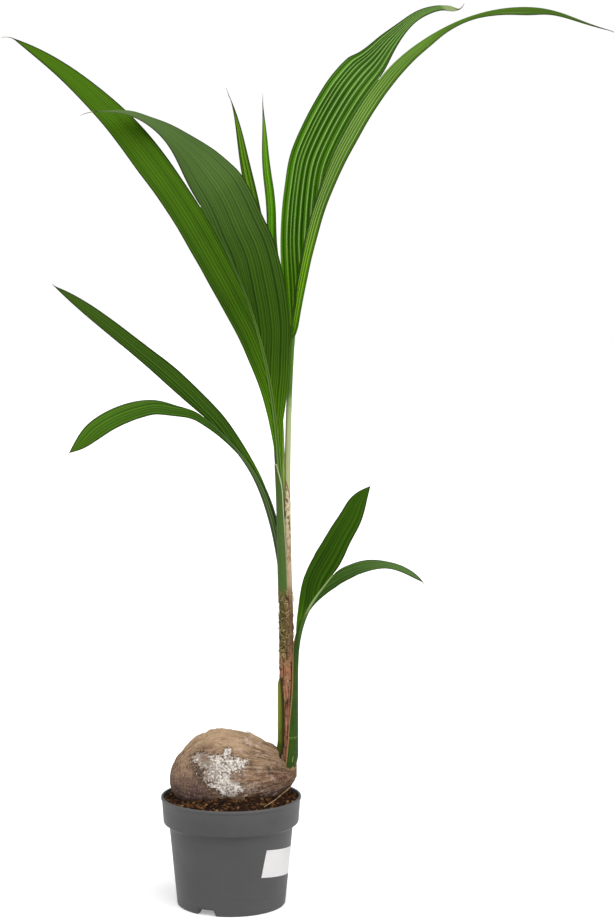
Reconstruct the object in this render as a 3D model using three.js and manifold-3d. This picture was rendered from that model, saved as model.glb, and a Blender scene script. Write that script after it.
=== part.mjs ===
// Coconut palm seedling: nursery pot, seed nut, shoot and two-lobed leaves. Millimetres, +Z up.
import * as THREE from 'three';
import { mergeVertices } from 'three/addons/utils/BufferGeometryUtils.js';
import Module from 'manifold-3d';

const wasm = await Module();
wasm.setup();

const gap = 0.3;

// finishes
const potPlastic = { color: 0x585858, roughness: 0.6, metalness: 0 };
const peat = { color: 0x3a2a1c, roughness: 0.95, metalness: 0 };
const husk = { color: 0x8a7258, roughness: 0.85, metalness: 0 };
const stemFibre = { color: 0x6b5238, roughness: 0.8, metalness: 0 };
const sheathGreen = { color: 0x4f7a2a, roughness: 0.55, metalness: 0 };
const stalkGreen = { color: 0x6f9a34, roughness: 0.45, metalness: 0 };
const leafGreen = { color: 0x4f8f1f, roughness: 0.45, metalness: 0 };

// pot
const potHeight = 150;
const potRimRadius = 96;
const potShoulderRadius = 84.7;
const potBaseRadius = 74.4;
const potWall = 2.2;
const potFloor = 11;
const bandDrop = 35.5;
const bandDraft = 2.2;
const bandStep = 5;
const lipHeight = 3.5;
const lipProud = 1.2;
const lipRound = 1;
const footRound = 1.5;
const footWidth = 8;
const footDisc = 30;
const channelRise = 7;
const channelDraft = 2;
const notchCount = 3;
const notchWidth = 27;
const notchDepth = 30;
const notchRise = 8.5;
const notchBearing = -115.5;
const potSegments = 56;

// soil
const soilEdge = 144;
const soilCrown = 158;
const soilHeap = [[70, 150], [50, 156.5]];

// seed nut, lying along X with its pointed end to the right
const nutLeft = -84;
const nutRight = 89;
const nutAxisLeft = 171;
const nutAxisRight = 178;
const nutGirth = [62, 66, 65, 54, 42];
const nutDepthShare = 0.82;
const nutUnderShare = 0.8;
const nutRidge = 0.035;
const nutFullness = 2.45;
const nutRows = 22;
const nutSides = 30;
const nutPole = 0.06;

// stem, with the lowest leaf's sheath wrapped round its foot
const stemFoot = 184;
const stemTop = 422;
const stemAxis = [78.4, 78.2, 76.6, 75.9, 75.7, 75.6];
const stemRadius = [10.4, 10.4, 9.6, 9.5, 9.5, 9.4];
const stemSides = 16;
const stemRows = 14;
const socketSides = 24;
const socketRows = 8;
const sheathFoot = 187;
const sheathTop = 300;
const sheathAxis = 78;
const sheathRadius = 14.1;
const sheathEase = 0.3;
const sheathFrom = [-92, -92, -86, -76, -66];
const sheathTo = [232, 244, 250, 247, 236];
const sheathRows = 9;
const sheathSteps = 15;

// leaves: each a stalk that bends as its tilt keys say, with two lobes that leave it at the split
const leaves = [
  {
    name: 'leaf_top_left',
    foot: [71.3, -3, 422.3],
    length: 550,
    tilts: [1.5, 2.3, 9, 21, 34],
    heads: [-160, -160],
    radii: [5.2, 5.1, 4, 2.6, 1.4],
    bladeFrom: 0.36,
    lobes: [
      {
        name: 'lower',
        free: 334.5,
        tilts: [34, 37.5, 48.5, 57.3, 72],
        heads: [-160, -165, -170],
        widths: [5, 16, 33, 49, 54.5, 48.5, 45.5, 35.5, 27, 23.5],
        turns: [-60, -60, -60, -70, -80, -85],
        face: 1,
        blunt: 12,
      },
      {
        name: 'upper',
        free: 258,
        tilts: [34, 28, 61, 87, 93],
        heads: [-160, -135, -105],
        widths: [8, 10.5, 18.5, 27, 36.5, 46, 53, 59, 64, 66, 71, 74, 70, 48, 27.5, 19, 11, 7, 5],
        turns: [47, 52, 63, 80, 106, 137, 165],
        face: -1,
        blunt: 12,
        bend: 0.79,
      },
    ],
  },
  {
    name: 'leaf_top_right',
    foot: [80.2, 0, 422.3],
    length: 725,
    tilts: [-2.5, 0.8, 4.7, 18, 39],
    heads: [8, 14],
    radii: [4, 3.7, 3.8, 2.5, 1.4],
    bladeFrom: 0.5,
    lobes: [
      {
        name: 'upper',
        free: 195,
        tilts: [39, 26.5, 33.5, 45.5, 64, 76, 90.5, 71],
        heads: [14, 35, 60],
        widths: [7, 16, 24.5, 33, 41, 48, 55, 56, 55.5, 54.5, 49, 31, 16.5, 12.5, 11, 22],
        turns: [85, 90, 92, 90, 70, 50, 45],
        face: 1,
        blunt: 12,
      },
      {
        name: 'lower',
        free: 351,
        tilts: [39, 53, 63, 76, 91.5, 111, 107],
        heads: [14, 5, -10],
        widths: [17, 23, 28, 31, 33, 37, 41, 44, 44, 43, 43, 38.5, 23.5, 16, 23.5, 31, 20, 15, 12],
        turns: [190, 192, 193, 194, 194, 205, 200],
        face: -1,
        blunt: 12,
        bend: 0.76,
      },
    ],
  },
  {
    name: 'leaf_mid_left',
    foot: [72.2, 8, 422.3],
    length: 280,
    tilts: [1, 10, 22, 41, 52],
    heads: [165, 165],
    radii: [4.6, 6.2, 5.9, 3.4, 1.3],
    bladeFrom: 0.45,
    lobes: [
      {
        name: 'upper',
        free: 275.5,
        tilts: [52, 49, 51, 50.4, 45],
        heads: [165, 170, 175],
        widths: [4, 9.5, 22, 27, 22.6, 20.5, 18],
        turns: [80, 80],
        face: -1,
        blunt: 12,
      },
      {
        name: 'lower',
        free: 220,
        tilts: [52, 75, 74, 92, 105, 115.5, 127, 147, 153],
        heads: [165, 180, 195],
        widths: [2, 3, 8.5, 20, 29, 30.5, 33],
        turns: [-40, -35, -30, -35, -50, -60, -65],
        face: 1,
        blunt: 16,
        bend: 0.72,
      },
    ],
  },
  {
    name: 'leaf_low_right',
    foot: [89, -1, 300.4],
    length: 170,
    tilts: [0, 3.5, 17, 34, 39],
    heads: [-15, -15],
    radii: [3, 3, 2.8, 2.2, 1.3],
    bladeFrom: 0.38,
    lobes: [
      {
        name: 'upper',
        free: 132,
        tilts: [39, 23, 28.5, 14, 13.5],
        heads: [-15, 0, 10],
        widths: [3, 13, 29.5, 37, 33.5, 32.5, 35.5],
        turns: [105, 105, 100, 95, 90, 90],
        face: 1,
        blunt: 12,
      },
      {
        name: 'lower',
        free: 144.5,
        tilts: [39, 63.5, 70, 82, 93, 99, 108.5, 121, 138],
        heads: [-15, -25, -35],
        widths: [1, 2, 4.5, 11.5, 21, 24, 25.5, 17, 15.5, 18],
        turns: [-115, -115, -120, -130, -150, -160, -160],
        face: -1,
        blunt: 12,
        bend: 0.72,
        start: 0.16,
      },
    ],
  },
  {
    name: 'spear',
    foot: [80.6, 8.6, 422.3],
    length: 455,
    tilts: [2.2, 4.3, 2.4, 1.9, 13],
    heads: [140, 150],
    radii: [3.4, 3.2, 2.8, 2.2, 1.3],
    bladeFrom: 0.75,
    whole: true,
    lobes: [
      {
        name: 'left',
        free: 232,
        tilts: [13, 12, 15, 15, 25],
        heads: [150, 165],
        widths: [4, 8, 13, 16, 16, 11, 4],
        turns: [-90, -90],
        face: 1,
        blunt: 12,
      },
      {
        name: 'right',
        free: 218,
        tilts: [13, 2, 9, -2, 1],
        heads: [150, 120],
        widths: [4, 8, 13, 16, 17, 14, 5],
        turns: [90, 90],
        face: -1,
        blunt: 12,
      },
    ],
  },
];

const stalkSides = 8;
const stalkPitch = 36;
const stalkFine = 8;
const walkSteps = 160;
const bladeStrips = 5;
const bladePitch = 30;
const bladeRowsLeast = 5;
const bladeThickShare = 0.0105;
const bladeThickLeast = 1.6;
const pleatDepth = 0.035;
const bladeCamber = 0.05;
const tipWidth = 2;
const bladeClear = 0.7;
const freeSeat = 0.25;
const splitGap = 0.6;

const rad = Math.PI / 180;

// smooth curve through evenly spaced keys
function keyed(keys, t) {
  const n = keys.length - 1;
  const x = Math.min(Math.max(t, 0), 1) * n;
  const i = Math.min(Math.floor(x), n - 1);
  const u = x - i;
  const b = keys[i];
  const c = keys[i + 1];
  const a = i > 0 ? keys[i - 1] : 2 * b - c;
  const d = i + 2 <= n ? keys[i + 2] : 2 * c - b;
  const line = 2 * b + (c - a) * u;
  return 0.5 * (line + (2 * a - 5 * b + 4 * c - d) * u * u + (3 * b - a - 3 * c + d) * u * u * u);
}

function heading(tilt, head) {
  const flat = Math.sin(tilt * rad);
  return new THREE.Vector3(flat * Math.cos(head * rad), flat * Math.sin(head * rad), Math.cos(tilt * rad));
}

// points along a curve that starts at a foot and turns as its tilts and headings say
function walk(foot, length, tilts, heads, steps) {
  const list = [];
  const here = foot.clone();
  for (let i = 0; i <= steps; i += 1) {
    const t = i / steps;
    const along = heading(keyed(tilts, t), keyed(heads, t));
    const bearing = keyed(heads, t) * rad;
    const across = new THREE.Vector3(-Math.sin(bearing), Math.cos(bearing), 0);
    const above = new THREE.Vector3().crossVectors(along, across);
    list.push({ at: here.clone(), along, across, above });
    const mid = (i + 0.5) / steps;
    here.addScaledVector(heading(keyed(tilts, mid), keyed(heads, mid)), length / steps);
  }
  return list;
}

// closed solid through a row of loops, each loop paired front to back at its two ends
function loft(loops) {
  const count = loops[0].length;
  const points = loops.flat();
  const index = [];
  for (let i = 0; i + 1 < loops.length; i += 1) {
    for (let j = 0; j < count; j += 1) {
      const a = i * count + j;
      const b = i * count + (j + 1) % count;
      index.push(a, b, b + count, a, b + count, a + count);
    }
  }
  const last = (loops.length - 1) * count;
  for (let j = 0; j < count / 2 - 1; j += 1) {
    const k = count - 1 - j;
    index.push(j, k, k - 1, j, k - 1, j + 1);
    index.push(last + j, last + k - 1, last + k, last + j, last + j + 1, last + k - 1);
  }
  const shape = new THREE.BufferGeometry();
  const places = points.flatMap((p) => p.toArray());
  shape.setAttribute('position', new THREE.Float32BufferAttribute(places, 3));
  shape.setIndex(volume(points, index) < 0 ? flipped(index) : index);
  return shape;
}

function volume(points, index) {
  let sum = 0;
  for (let i = 0; i < index.length; i += 3) {
    const cross = new THREE.Vector3().crossVectors(points[index[i + 1]], points[index[i + 2]]);
    sum += points[index[i]].dot(cross);
  }
  return sum;
}

function flipped(index) {
  const list = [];
  for (let i = 0; i < index.length; i += 3) {
    list.push(index[i], index[i + 2], index[i + 1]);
  }
  return list;
}

function toManifold(shape) {
  const bare = shape.clone();
  bare.deleteAttribute('normal');
  bare.deleteAttribute('uv');
  const joined = mergeVertices(bare, 1e-4);
  return new wasm.Manifold(new wasm.Mesh({
    numProp: 3,
    vertProperties: new Float32Array(joined.attributes.position.array),
    triVerts: new Uint32Array(joined.index.array),
  }));
}

function fromManifold(body) {
  const mesh = body.getMesh();
  const shape = new THREE.BufferGeometry();
  shape.setAttribute('position', new THREE.BufferAttribute(new Float32Array(mesh.vertProperties), 3));
  shape.setIndex(new THREE.BufferAttribute(new Uint32Array(mesh.triVerts), 1));
  return shape;
}

const group = new THREE.Group();
group.name = 'coconut_palm_seedling';

function put(name, shape, finish) {
  shape.computeVertexNormals();
  const mesh = new THREE.Mesh(shape, new THREE.MeshStandardMaterial(finish));
  mesh.name = name;
  group.add(mesh);
}

// round solid turned about the vertical axis through the origin
function turned(profile, segments) {
  const shape = new THREE.LatheGeometry(profile.map(([r, z]) => new THREE.Vector2(r, z)), segments);
  shape.rotateX(Math.PI / 2);
  return toManifold(shape);
}

// upright round limb whose centre and radius follow height
function upright(from, to, centre, radius, grow, sides, rows) {
  const loops = [];
  for (let i = 0; i <= rows; i += 1) {
    const z = from + (to - from) * i / rows;
    const loop = [];
    for (let j = 0; j < sides; j += 1) {
      const a = 2 * Math.PI * j / sides;
      const r = radius(z) + grow;
      loop.push(new THREE.Vector3(centre(z) + r * Math.cos(a), r * Math.sin(a), z));
    }
    loops.push(loop);
  }
  return loft(loops);
}

// pot: band under the rim, tapering wall, foot ring, centre disc and a drained channel between them
const bandFoot = potHeight - bandDrop;
const bandTopRadius = potRimRadius - lipProud;
const bandFootRadius = bandTopRadius - bandDraft;
const footRadius = potBaseRadius - footRound;
const potInside = [
  [potBaseRadius - potWall, potFloor],
  [potShoulderRadius - potWall, bandFoot - bandStep],
  [bandFootRadius - potWall, bandFoot + bandStep],
  [bandTopRadius - potWall, potHeight - lipRound],
];
const potOutside = [
  [0, 0],
  [footDisc, 0],
  [footDisc + channelDraft, channelRise],
  [footRadius - footWidth - channelDraft, channelRise],
  [footRadius - footWidth, 0],
  [footRadius, 0],
  [potBaseRadius, footRound],
  [potShoulderRadius, bandFoot - bandStep],
  [bandFootRadius, bandFoot],
  [bandTopRadius, potHeight - lipHeight - lipRound],
  [potRimRadius, potHeight - lipHeight],
  [potRimRadius, potHeight - lipRound],
  [potRimRadius - lipRound, potHeight],
  [bandTopRadius - potWall + lipRound, potHeight],
];
let pot = turned([...potOutside, ...potInside.toReversed(), [0, potFloor]], potSegments);
for (let i = 0; i < notchCount; i += 1) {
  const block = new THREE.BoxGeometry(notchDepth, notchWidth, notchRise * 2);
  block.translate(potBaseRadius, 0, 0);
  block.rotateZ((notchBearing + 360 * i / notchCount) * rad);
  pot = pot.subtract(toManifold(block));
}
put('pot', fromManifold(pot), potPlastic);

// seed nut: softly three-ridged, blunt at the left, drawn out to the nose on the right
function nut(grow) {
  const loops = [];
  for (let i = 0; i <= nutRows; i += 1) {
    const turn = nutPole + (Math.PI - 2 * nutPole) * i / nutRows;
    const s = (1 - Math.cos(turn)) / 2;
    const girth = keyed(nutGirth, s) * Math.sqrt(1 - Math.abs(2 * s - 1) ** nutFullness) + grow;
    const x = nutLeft - grow + (nutRight - nutLeft + 2 * grow) * s;
    const axis = nutAxisLeft + (nutAxisRight - nutAxisLeft) * s;
    const loop = [];
    for (let j = 0; j < nutSides; j += 1) {
      const a = 2 * Math.PI * j / nutSides;
      const r = girth * (1 + nutRidge * Math.cos(3 * (a - Math.PI / 2)));
      const tall = Math.sin(a) > 0 ? 1 : nutUnderShare;
      loop.push(new THREE.Vector3(x, r * nutDepthShare * Math.cos(a), axis + r * tall * Math.sin(a)));
    }
    loops.push(loop);
  }
  return toManifold(loft(loops));
}

const stemAt = (z) => keyed(stemAxis, (z - stemFoot) / (stemTop - stemFoot));
const stemGirth = (z) => keyed(stemRadius, (z - stemFoot) / (stemTop - stemFoot));
const coreSocket = upright(stemFoot - gap, stemTop, stemAt, stemGirth, gap, socketSides, socketRows);
const wrapAt = () => sheathAxis;
const wrapGirth = () => sheathRadius;
const wrapSocket = upright(sheathFoot - gap, sheathTop, wrapAt, wrapGirth, gap, socketSides, socketRows);
const seed = nut(0).subtract(toManifold(coreSocket)).subtract(toManifold(wrapSocket));
put('nut', fromManifold(seed), husk);

// soil: filled plug mounded against the nut
const soilSide = potInside.slice(0, 3).map(([r, z]) => [r - gap, z]);
const soilProfile = [
  [0, potFloor + gap],
  [soilSide[0][0], potFloor + gap],
  ...soilSide.slice(1),
  [soilSide[2][0], soilEdge],
  ...soilHeap,
  [0, soilCrown],
];
put('soil', fromManifold(turned(soilProfile, potSegments).subtract(nut(gap))), peat);

put('stem', upright(stemFoot, stemTop, stemAt, stemGirth, 0, stemSides, stemRows), stemFibre);

// sheath of the lowest leaf: a wrap round the stem, open down its front
function sheath() {
  const loops = [];
  for (let i = 0; i <= sheathRows; i += 1) {
    const t = i / sheathRows;
    const z = sheathFoot + (sheathTop - sheathFoot) * t;
    const from = keyed(sheathFrom, t);
    const to = keyed(sheathTo, t);
    const outer = [];
    const inner = [];
    const halfStep = (to - from) * rad / sheathSteps / 2;
    for (let j = 0; j <= sheathSteps; j += 1) {
      const a = from * rad + 2 * halfStep * j;
      const inside = (stemGirth(z) + gap + sheathEase) / Math.cos(halfStep);
      outer.push(new THREE.Vector3(sheathAxis + sheathRadius * Math.cos(a), sheathRadius * Math.sin(a), z));
      inner.push(new THREE.Vector3(stemAt(z) + inside * Math.cos(a), inside * Math.sin(a), z));
    }
    loops.push(outer.concat(inner.reverse()));
  }
  return loft(loops);
}
put('sheath', sheath(), sheathGreen);

// sum of two directions, each taken a given amount
function blend(first, much, second, other) {
  return first.clone().multiplyScalar(much).addScaledVector(second, other);
}

// stalk of a leaf: a round limb along its curve, cut level at the foot
function stalk(leaf) {
  const rows = Math.round(leaf.length / stalkPitch) + 3;
  const line = walk(new THREE.Vector3(...leaf.foot), leaf.length, leaf.tilts, leaf.heads, rows * stalkFine);
  const stations = line.filter((step, i) => i % stalkFine === 0);
  return loft(stations.map((step, i) => {
    const r = keyed(leaf.radii, i / rows);
    const above = i ? step.above : step.above.clone().setZ(0).normalize();
    const loop = [];
    for (let j = 0; j < stalkSides; j += 1) {
      const a = 2 * Math.PI * j / stalkSides;
      loop.push(blend(step.across, r * Math.cos(a), above, r * Math.sin(a)).add(step.at));
    }
    return loop;
  }));
}

// inner edge of a lobe: along the stalk from where the blade begins, then free to the tip
function innerEdge(leaf, lobe) {
  const held = walk(new THREE.Vector3(...leaf.foot), leaf.length, leaf.tilts, leaf.heads, walkSteps);
  const free = walk(held[walkSteps].at, lobe.free, lobe.tilts, lobe.heads, walkSteps);
  const bladeHeld = leaf.length * (1 - leaf.bladeFrom);
  const whole = bladeHeld + lobe.free;
  const split = bladeHeld / whole;
  const step = (t) => {
    const run = t * whole;
    const onStalk = run < bladeHeld;
    const row = onStalk ? held : free;
    const x = onStalk ? leaf.bladeFrom + run / leaf.length : (run - bladeHeld) / lobe.free;
    const i = Math.min(Math.floor(x * walkSteps), walkSteps - 1);
    const u = x * walkSteps - i;
    const mix = (key) => row[i][key].clone().lerp(row[i + 1][key], u);
    const seat = keyed(leaf.radii, onStalk ? x : 1) + bladeClear;
    const clear = onStalk ? seat : seat * Math.max(0, 1 - x / freeSeat);
    return { at: mix('at'), along: mix('along'), across: mix('across'), above: mix('above'), clear };
  };
  return { step, split, whole };
}

// blade between two shares of a lobe's length: a pleated plate of even thickness
function blade(edge, lobe, from, to) {
  const run = (to - from) * edge.whole;
  const thick = Math.max(bladeThickLeast, bladeThickShare * run);
  const rows = Math.max(bladeRowsLeast, Math.round(run / bladePitch));
  const loops = [];
  for (let i = 0; i <= rows; i += 1) {
    const t = from + (to - from) * i / rows;
    const { at, along, across, above, clear } = edge.step(t);
    const turn = keyed(lobe.turns, t) * rad;
    const out = blend(across, Math.cos(turn), above, Math.sin(turn)).normalize();
    const up = new THREE.Vector3().crossVectors(along, out).normalize().multiplyScalar(lobe.face);
    const width = keyed(lobe.widths, t) * (1 - t ** lobe.blunt);
    const span = Math.max(tipWidth, width - clear);
    const top = [];
    const under = [];
    for (let j = 0; j <= bladeStrips; j += 1) {
      const u = j / bladeStrips;
      const fold = pleatDepth * width * (j % 2 ? 0.5 : -0.5);
      const lift = fold - bladeCamber * width * u * u;
      const mid = at.clone().addScaledVector(out, clear + u * span).addScaledVector(up, lift);
      top.push(mid.clone().addScaledVector(up, thick / 2));
      under.push(mid.clone().addScaledVector(up, -thick / 2));
    }
    loops.push(top.concat(under.reverse()));
  }
  return loft(loops);
}

// lobes are cut where they leave the stalk, and again at a sharp bend
for (const leaf of leaves) {
  put(`${leaf.name}_stalk`, stalk(leaf), stalkGreen);
  for (const lobe of leaf.lobes) {
    const edge = innerEdge(leaf, lobe);
    const half = splitGap / 2 / edge.whole;
    if (leaf.whole) {
      put(`${leaf.name}_${lobe.name}`, blade(edge, lobe, 0, 1), leafGreen);
      continue;
    }
    const cuts = lobe.bend ? [edge.split, lobe.bend] : [edge.split];
    const parts = lobe.bend ? ['base', 'mid', 'tip'] : ['base', 'tip'];
    const starts = [lobe.start ?? 0, ...cuts.map((cut) => cut + half)];
    const ends = [...cuts.map((cut) => cut - half), 1];
    parts.forEach((part, i) => {
      put(`${leaf.name}_${lobe.name}_${part}`, blade(edge, lobe, starts[i], ends[i]), leafGreen);
    });
  }
}

export default group;
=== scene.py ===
# Coconut palm seedling in its nursery pot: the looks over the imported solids.
# Tables are in millimetres and degrees, colours are as seen on a screen.
import math

import bmesh
import bpy
import numpy as np
from mathutils import Euler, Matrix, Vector, noise


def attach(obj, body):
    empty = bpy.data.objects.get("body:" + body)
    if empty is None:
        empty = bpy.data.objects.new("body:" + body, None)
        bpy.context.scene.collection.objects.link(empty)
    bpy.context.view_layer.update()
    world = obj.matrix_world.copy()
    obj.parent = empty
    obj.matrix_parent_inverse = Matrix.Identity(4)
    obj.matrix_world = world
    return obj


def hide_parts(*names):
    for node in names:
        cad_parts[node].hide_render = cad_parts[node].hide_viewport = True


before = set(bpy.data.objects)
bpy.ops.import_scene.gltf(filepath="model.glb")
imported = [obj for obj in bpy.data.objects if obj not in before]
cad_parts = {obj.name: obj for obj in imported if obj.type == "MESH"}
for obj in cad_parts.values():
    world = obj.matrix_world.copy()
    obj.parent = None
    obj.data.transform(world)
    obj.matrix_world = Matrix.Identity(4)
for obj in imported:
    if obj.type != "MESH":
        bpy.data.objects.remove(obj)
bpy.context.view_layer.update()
mm = 0.001
rad = math.pi / 180
fullTurn = 2 * math.pi
print("frame:", len(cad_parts), "solids")


def rgb(red, green, blue):
    shares = [value / 255 for value in (red, green, blue)]
    return tuple(s / 12.92 if s < 0.0405 else ((s + 0.055) / 1.055) ** 2.4 for s in shares) + (1,)


# an operator and its reflected form, each adding a Math node
def operator(operation):
    def plain(self, other):
        return self.maths(operation, self, other)

    def reflected(self, other):
        return self.maths(operation, other, self)

    return plain, reflected


class Value:  # a socket in a sum
    def __init__(self, nodes, socket):
        self.nodes = nodes
        self.socket = socket

    def maths(self, operation, *values):
        return self.nodes.node("Math", {"operation": operation}, dict(enumerate(values)))

    __add__, __radd__ = operator("ADD")
    __sub__, __rsub__ = operator("SUBTRACT")
    __mul__, __rmul__ = operator("MULTIPLY")
    __truediv__, __rtruediv__ = operator("DIVIDE")
    __pow__, __rpow__ = operator("POWER")

    def between(self, low, high):  # 0 below low, 1 above high, smooth between; low may be the larger
        limits = {"Value": self, "From Min": low, "From Max": high}
        return self.nodes.node("MapRange", {"interpolation_type": "SMOOTHSTEP"}, limits)

    def orMore(self, other):
        return self.maths("MAXIMUM", self, other)


class Nodes:  # one node tree
    def __init__(self, tree):
        self.tree = tree

    def node(self, kind, settings, sockets, out=0):
        made = self.tree.nodes.new("ShaderNode" + kind)
        for key, setting in settings.items():
            setattr(made, key, setting)
        for key, value in sockets.items():
            self.feed(made.inputs[key], value)
        return Value(self, made.outputs[out])

    def feed(self, socket, value):
        if isinstance(value, Value):
            self.tree.links.new(value.socket, socket)
        else:
            socket.default_value = value


class Finish(Nodes):  # one material, whose colour is laid on in tints
    def __init__(self, name, colour):
        self.material = bpy.data.materials.new(name)
        self.material.use_nodes = True
        self.colour = colour
        super().__init__(self.material.node_tree)

    def tint(self, share, tone):
        self.colour = self.mix(share, self.colour, tone)

    def wear(self, rough, shine=0.5, **others):  # hands the colour and the rest to the shader
        sockets = {"Base Color": self.colour, "Roughness": rough, "Specular IOR Level": shine}
        for key, value in (sockets | others).items():
            self.feed(self.tree.nodes["Principled BSDF"].inputs[key], value)
        return self

    def read(self, name):  # a number kept on each point of the mesh
        return self.node("Attribute", {"attribute_name": name}, {}, "Fac")

    def place(self, stretch):  # the point itself, in metres
        here = self.node("TexCoord", {}, {}, "Object")
        return self.node("Mapping", {}, {"Vector": here, "Scale": stretch})

    def axis(self, letter):  # one coordinate, in millimetres
        here = self.node("TexCoord", {}, {}, "Object")
        return self.node("SeparateXYZ", {}, {0: here}, letter) / mm

    def joined(self, x, y, z):
        return self.node("CombineXYZ", {}, {0: x, 1: y, 2: z})

    def grain(self, place, scale, detail=3, rough=0.55):
        sockets = {"Vector": place, "Scale": scale, "Detail": detail, "Roughness": rough}
        return self.node("TexNoise", {}, sockets)

    def mottle(self, scale, detail=3, rough=0.55):
        return self.grain(self.place((1, 1, 1)), scale, detail, rough)

    def mix(self, share, first, second):
        return self.node("Mix", {"data_type": "RGBA"}, {0: share, 6: first, 7: second}, 2)

    def bump(self, height, strength, distance):
        sockets = {"Height": height, "Strength": strength, "Distance": distance * mm}
        return self.node("Bump", {}, sockets, "Normal")


# smooth curve through evenly spaced keys
def keyed(keys, t):
    keys = np.asarray(keys, float)
    last = len(keys) - 1
    x = np.clip(np.asarray(t, float), 0, 1) * last
    i = np.minimum(x.astype(int), last - 1)
    u = x - i
    b = keys[i]
    c = keys[i + 1]
    a = np.where(i > 0, keys[np.maximum(i - 1, 0)], 2 * b - c)
    d = np.where(i + 2 <= last, keys[np.minimum(i + 2, last)], 2 * c - b)
    line = 2 * b + (c - a) * u
    return 0.5 * (line + (2 * a - 5 * b + 4 * c - d) * u**2 + (3 * b - a - 3 * c + d) * u**3)


def xyz(x, y, z):
    return np.stack(np.broadcast_arrays(x, y, z), -1).astype(float)


def roundAt(r, a, z, x=0, y=0):  # points round an upright axis
    return xyz(x + r * np.cos(a), y + r * np.sin(a), z)


def turns(count):  # bearings all the way round
    return np.linspace(0, fullTurn, count, endpoint=False)


def curve(points, t):
    return xyz(*[keyed(column, t) for column in zip(*points)])


def eased(low, high, x):
    t = np.clip((np.asarray(x, float) - low) / (high - low), 0, 1)
    return t * t * (3 - 2 * t)


def unit(rows):
    return rows / np.linalg.norm(rows, axis=-1, keepdims=True)


def heading(tilt, head):
    return roundAt(np.sin(tilt * rad), head * rad, np.cos(tilt * rad))


# line that starts at a foot and turns as its tilt and heading keys say
def walk(foot, length, tilts, heads, steps):
    t = np.linspace(0, 1, steps + 1)
    mid = (t[:-1] + t[1:]) / 2
    strides = heading(keyed(tilts, mid), keyed(heads, mid)) * length / steps
    at = np.vstack([np.zeros(3), np.cumsum(strides, 0)]) + foot
    bearing = keyed(heads, t) * rad
    along = heading(keyed(tilts, t), keyed(heads, t))
    across = xyz(-np.sin(bearing), np.cos(bearing), 0)
    return {"at": at, "along": along, "across": across, "above": np.cross(along, across)}


def sampled(line, x):
    place = np.clip(x, 0, 1) * (len(line) - 1)
    i = np.minimum(place.astype(int), len(line) - 2)
    u = (place - i)[:, None]
    return line[i] * (1 - u) + line[i + 1] * u


# uneven heights from -1 to 1, with bumps about as wide as size
def uneven(points, size, octaves=3):
    places = np.asarray(points, float).reshape(-1, 3) / np.asarray(size, float)
    heights = [noise.fractal(Vector(place), 1.0, 2.0, octaves) for place in places]
    return np.array(heights).reshape(np.asarray(points).shape[:-1])


# faces of a wall of rows, each row a closed ring of so many points
def ringFaces(rows, count, first=0):
    i, j = np.meshgrid(np.arange(rows - 1), np.arange(count), indexing="ij")
    a = first + i * count + j
    b = first + i * count + (j + 1) % count
    return np.stack([a, b, b + count, a + count], -1).reshape(-1, 4).tolist()


def rodFaces(rows, count, first=0):
    last = first + (rows - 1) * count
    ends = [list(range(first, first + count))[::-1], list(range(last, last + count))]
    return ringFaces(rows, count, first) + ends


# a thin wall's rows, whose rings run out along the front and home along the back
def folded(front, back):
    return np.concatenate([front, back[:, ::-1]], 1)


def foldedFaces(rows, count):
    last = (rows - 1) * count
    faces = ringFaces(rows, count)
    for j in range(count // 2 - 1):
        k = count - 1 - j
        faces.append([j, k, k - 1, j + 1])
        faces.append([last + j, last + j + 1, last + k - 1, last + k])
    return faces


# rings of points round a line
def tube(line, radii, sides):
    aslant = unit(np.array([0.31, 0.52, 0.79]))  # a way that no line here follows
    along = unit(np.gradient(line, axis=0))
    side = unit(np.cross(along, aslant))
    over = np.cross(along, side)
    turn = turns(sides)[None, :, None]
    ring = side[:, None] * np.cos(turn) + over[:, None] * np.sin(turn)
    return line[:, None] + radii[:, None, None] * ring


def placed(name, data):
    made = bpy.data.objects.new(name, data)
    bpy.context.scene.collection.objects.link(made)
    return made


def turnOutward(mesh):  # once its doubled points are welded
    body = bmesh.new()
    body.from_mesh(mesh)
    bmesh.ops.remove_doubles(body, verts=body.verts, dist=1e-6)
    bmesh.ops.recalc_face_normals(body, faces=body.faces)
    body.to_mesh(mesh)
    body.free()


def piece(name, points, faces, finish, nodes=(), values=None, crease=60, corners=None):
    mesh = bpy.data.meshes.new(name)
    mesh.from_pydata((points.reshape(-1, 3) * mm).tolist(), [], faces)
    for key, numbers in (values or {}).items():
        layer = mesh.attributes.new(key, "FLOAT", "POINT")
        spread = np.broadcast_to(np.asarray(numbers, np.float32), points.shape[:-1])
        layer.data.foreach_set("value", spread.ravel())
    if corners is not None:
        mesh.uv_layers.new(name="OFBake").data.foreach_set("uv", np.asarray(corners, np.float32).ravel())
    turnOutward(mesh)
    mesh.shade_smooth()
    mesh.set_sharp_from_angle(angle=crease * rad)
    mesh.materials.append(finish.material)
    made = placed(name, mesh)
    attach(made, "root")
    if nodes:
        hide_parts(*nodes)
    return made


strand = {"sides": 5, "thinning": 0.75, "rough": 0.78, "shine": 0.2}


# many thin round strands as one mesh: each strand is a row of points
def strands(name, lines, radii, finish, sides=strand["sides"]):
    points = []
    faces = []
    first = 0
    for line, radius in zip(lines, radii):
        rows = len(line)
        taper = 1 - strand["thinning"] * np.linspace(0, 1, rows) ** 2
        points.append(tube(line, radius * taper, sides).reshape(-1, 3))
        faces += rodFaces(rows, sides, first)
        first += rows * sides
    piece(name, np.concatenate(points), faces, finish)


def strandFinish(name, dark, pale):
    f = Finish(name, dark)
    f.tint(f.mottle(190, 2).between(0.35, 0.62), pale)
    return f.wear(strand["rough"], strand["shine"])


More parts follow.
